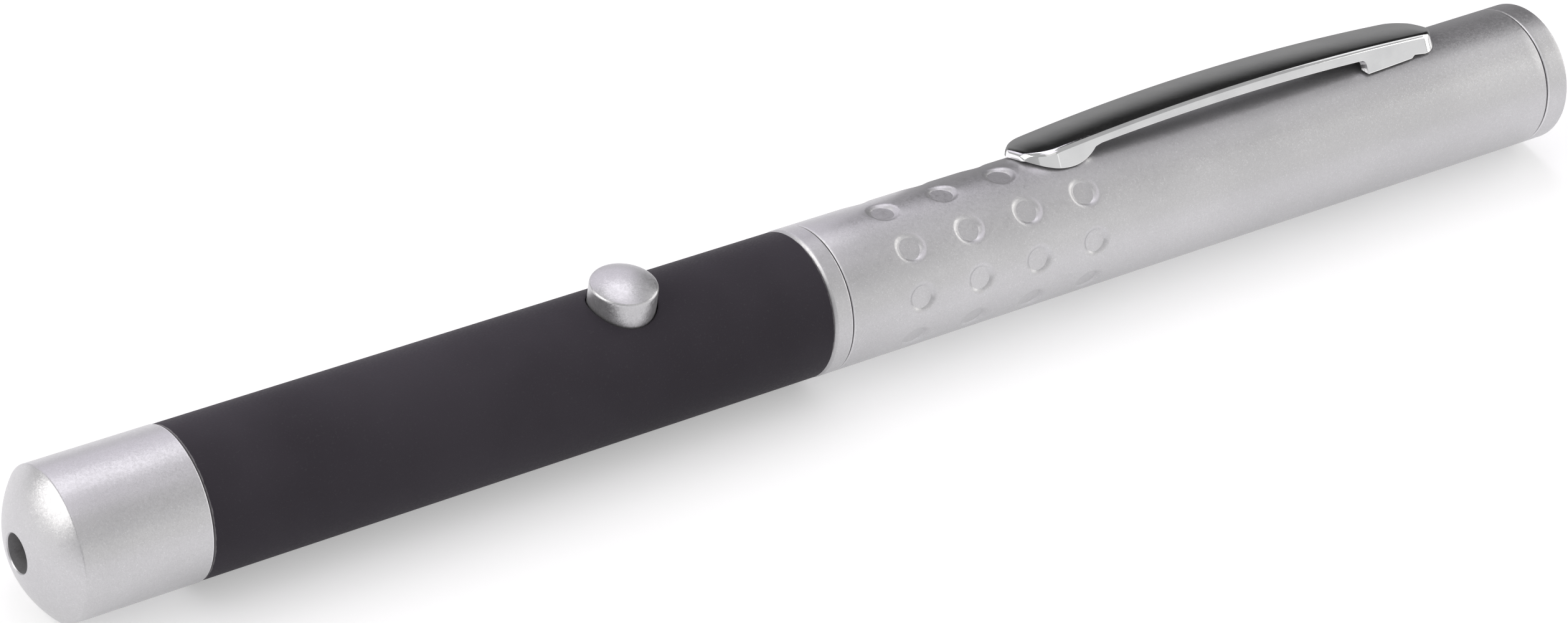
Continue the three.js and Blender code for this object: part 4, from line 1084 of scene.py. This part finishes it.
springs = {
    "cellSpring": {"node": "tail_spring", "body": "spring",
                   "reach": (76.0, 79.7), "radii": (2.1, 3.7), "wire": 0.3},
    "lensSpring": {"node": "focus_spring", "body": "front",
                   "reach": (-65.57, -60.47), "radii": (3.475, 3.475), "wire": 0.25},
}


def coilPath(reach, radii, turns=4, perTurn=64):
    # a wire's middle line, winding about the axis while its radius changes evenly
    share = np.linspace(0, 1, turns * perTurn + 1)
    angle = 2 * math.pi * turns * share
    radius = radii[0] + (radii[1] - radii[0]) * share
    along = reach[0] + (reach[1] - reach[0]) * share
    return np.stack([along, radius * np.cos(angle), radius * np.sin(angle)], -1)


for name, spring in springs.items():
    wire = wirePart(coilPath(spring["reach"], spring["radii"]), spring["wire"])
    makePiece(name, [wire], springSteel, spring["body"], [spring["node"]])


stud = {"pin": 0.9, "pinLength": 1.6, "pinRound": 0.05, "head": 2.6, "length": 2.0, "headRound": 0.18}
disc = {"hole": 1.0, "radius": 5.75, "thickness": 1.5, "round": 0.15}
lens = {"radius": 3.0, "length": 2.0, "dome": 0.7, "bulge": 0.175, "round": 0.05}


def turnedFromBox(name, node, corners, material, steps=5, sides=96):
    # a finer turned piece in place of a plain one, its outline measured from the node's front
    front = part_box(node)[0].x / millimetre - seamX
    outline = rounded([[front + c[0], *c[1:]] for c in corners], steps)
    if corners[0][1] > 0:
        outline = looped(outline)
    makePiece(name, [turnedPart(outline, sides)], material, "front", [node])


turnedFromBox("contactStud", "front_contact", [
    [0, 0], [0, stud["pin"], stud["pinRound"]], [stud["pinLength"], stud["pin"]],
    [stud["pinLength"], stud["head"], stud["pinRound"]], [stud["length"], stud["head"], stud["headRound"]],
    [stud["length"], 0],
], nickel)
turnedFromBox("contactDisc", "contact_insulator", [
    [0, disc["hole"]], [0, disc["radius"], disc["round"]], [disc["thickness"], disc["radius"], disc["round"]],
    [disc["thickness"], disc["hole"]],
], darkMoulding)
lensArc = bulged([lens["length"] - lens["dome"], lens["radius"]], [lens["length"], 0], lens["bulge"], 24)
turnedFromBox("lensBody", "collimating_lens", [
    [0, 0], [0, lens["radius"], lens["round"]], *[[x, r] for x, r in lensArc],
], clearLens)
print("inner parts built")


# Floor, light and camera


floor = {"reach": 2.5, "paper": (0.78, 0.78, 0.785, 1), "glow": 0.34}
flag = {
    "foot": 0.014, "away": 0.045, "bend": 0.05, "height": 0.125, "from": 0.018, "rise": 0.055, "to": 0.26,
    "lift": 0.0005, "slant": 0.03, "low": 0.28, "dark": 0.022, "fadeFrom": 0.0105, "fadeTo": 0.022,
}


def glow(tree, strength):
    return addNode(tree, "Emission", {"Color": (1, 1, 1, 1), "Strength": strength}).outputs[0]


def floorShader(tree):
    # pale paper that the camera and the metal see as white, with the pen's soft shadow kept
    path = addNode(tree, "LightPath").outputs
    mirrored = maths(tree, "MAXIMUM", path["Is Glossy Ray"], path["Is Transmission Ray"])
    seen = maths(tree, "MAXIMUM", path["Is Camera Ray"], mirrored)
    paper = addNode(tree, "BsdfDiffuse", {"Color": floor["paper"]}).outputs[0]
    return addNode(tree, "AddShader", {0: paper, 1: glow(tree, times(tree, seen, floor["glow"]))}).outputs[0]


def flagShader(tree):
    # a folded dark card behind the pen, paler towards its foot, that gives the chrome its black band
    height = partOf(tree, addNode(tree, "TexCoord").outputs["Object"], "Z")
    return glow(tree, remap(tree, height, flag["fadeFrom"], flag["fadeTo"], flag["low"], flag["dark"]))


def stagePlane(name, corners, faces, materialName, build):
    # flat faces of the studio, with a material whose surface the given function builds
    material = bpy.data.materials.new(materialName)
    material.use_nodes = True
    tree = material.node_tree
    tree.nodes.clear()
    tree.links.new(build(tree), tree.nodes.new("ShaderNodeOutputMaterial").inputs["Surface"])
    mesh = bpy.data.meshes.new(name)
    mesh.from_pydata(corners, [], faces)
    mesh.materials.append(material)
    plane = bpy.data.objects.new(name, mesh)
    bpy.context.scene.collection.objects.link(plane)
    return plane


reach = floor["reach"]
floorCorners = [(-reach, -reach, 0), (reach, -reach, 0), (reach, reach, 0), (-reach, reach, 0)]
stagePlane("floor", floorCorners, [(0, 1, 2, 3)], "floorPaper", floorShader)
backFlag = stagePlane("backFlag", [
    (flag["from"], flag["foot"], flag["lift"]), (flag["to"], flag["foot"], flag["lift"]),
    (flag["to"], flag["away"], flag["bend"]), (flag["rise"], flag["away"], flag["bend"]),
    (flag["from"], flag["away"], flag["bend"]), (flag["to"], flag["away"], flag["height"]),
    (flag["rise"] + flag["slant"], flag["away"], flag["height"]),
], [(0, 1, 2, 3, 4), (3, 2, 5, 6)], "flagCard", flagShader)
backFlag.visible_camera = False
backFlag.visible_shadow = False
backFlag.visible_diffuse = False

lightAim = Vector((0, 0, 0.01))
lights = {
    "noseWash": {"at": (-0.62, 0.22, 0.40), "size": (0.68, 0.62), "power": 3.0, "colour": (1.0, 0.99, 0.96)},
    "above": {"at": (0.02, -0.05, 0.60), "size": (0.4, 0.4), "power": 0.36, "colour": (0.96, 0.90, 1.0)},
    "frontHigh": {"at": (-0.02, -0.33, 0.50), "size": (0.4, 0.36), "power": 0.15, "colour": (1, 0.97, 0.95)},
    "overBack": {"at": (0.124, 0.27, 0.54), "size": (0.3, 0.3), "power": 0.50, "colour": (0.97, 0.94, 1.0)},
    "overHeel": {"at": (0.48, 0.066, 0.37), "size": (0.2, 0.2), "power": 0.08, "colour": (1.0, 1.0, 1.0)},
    "right": {"at": (0.57, -0.10, 0.22), "size": (0.46, 0.36), "power": 0.85, "colour": (1.0, 0.99, 0.94)},
    "frontRight": {"at": (0.38, -0.46, 0.28), "size": (0.34, 0.28), "power": 0.095, "colour": (1, 1, 1)},
    "frontLeft": {"at": (-0.15, -0.55, 0.305), "size": (0.9, 0.28), "power": 0.20, "colour": (1.0, 1.0, 1.0)},
    "frontLow": {"at": (0.22, -0.57, 0.12), "size": (0.8, 0.24), "power": 0.28, "colour": (1.0, 0.99, 0.94)},
    "backWide": {"at": (0.10, 0.52, 0.30), "size": (0.7, 0.4), "power": 0.55, "colour": (0.92, 0.85, 1.0)},
}
for name, lamp in lights.items():
    data = bpy.data.lights.new(name, "AREA")
    data.shape = "RECTANGLE"
    data.size, data.size_y = lamp["size"]
    data.energy = lamp["power"]
    data.color = lamp["colour"]
    holder = bpy.data.objects.new(name, data)
    holder.location = lamp["at"]
    holder.visible_camera = False
    holder.rotation_mode = "QUATERNION"
    holder.rotation_quaternion = (lightAim - Vector(lamp["at"])).to_track_quat("-Z", "Y")
    bpy.context.scene.collection.objects.link(holder)

skyStrength = 0.44
world = bpy.data.worlds.new("studioWorld")
bpy.context.scene.world = world
world.use_nodes = True
world.node_tree.nodes["Background"].inputs["Color"].default_value = (1, 1, 1, 1)
world.node_tree.nodes["Background"].inputs["Strength"].default_value = skyStrength

view = {
    "lens": 108.75, "sensor": 36, "near": 0.01, "far": 20, "at": (-0.215805, -0.24637, 0.24572),
    "right": (0.81271, -0.56895, 0.12572), "up": (0.26186, 0.54938, 0.79348),
    "back": (-0.52052, -0.61195, 0.59547),
}
camera = bpy.data.objects.new("camera", bpy.data.cameras.new("camera"))
camera.data.lens = view["lens"]
camera.data.sensor_width = view["sensor"]
camera.data.clip_start = view["near"]
camera.data.clip_end = view["far"]
rows = list(zip(view["right"], view["up"], view["back"], view["at"]))
camera.matrix_world = Matrix(rows + [(0, 0, 0, 1)])
bpy.context.scene.collection.objects.link(camera)
bpy.context.scene.camera = camera
bpy.context.scene.view_settings.view_transform = "Standard"
print("studio ready")
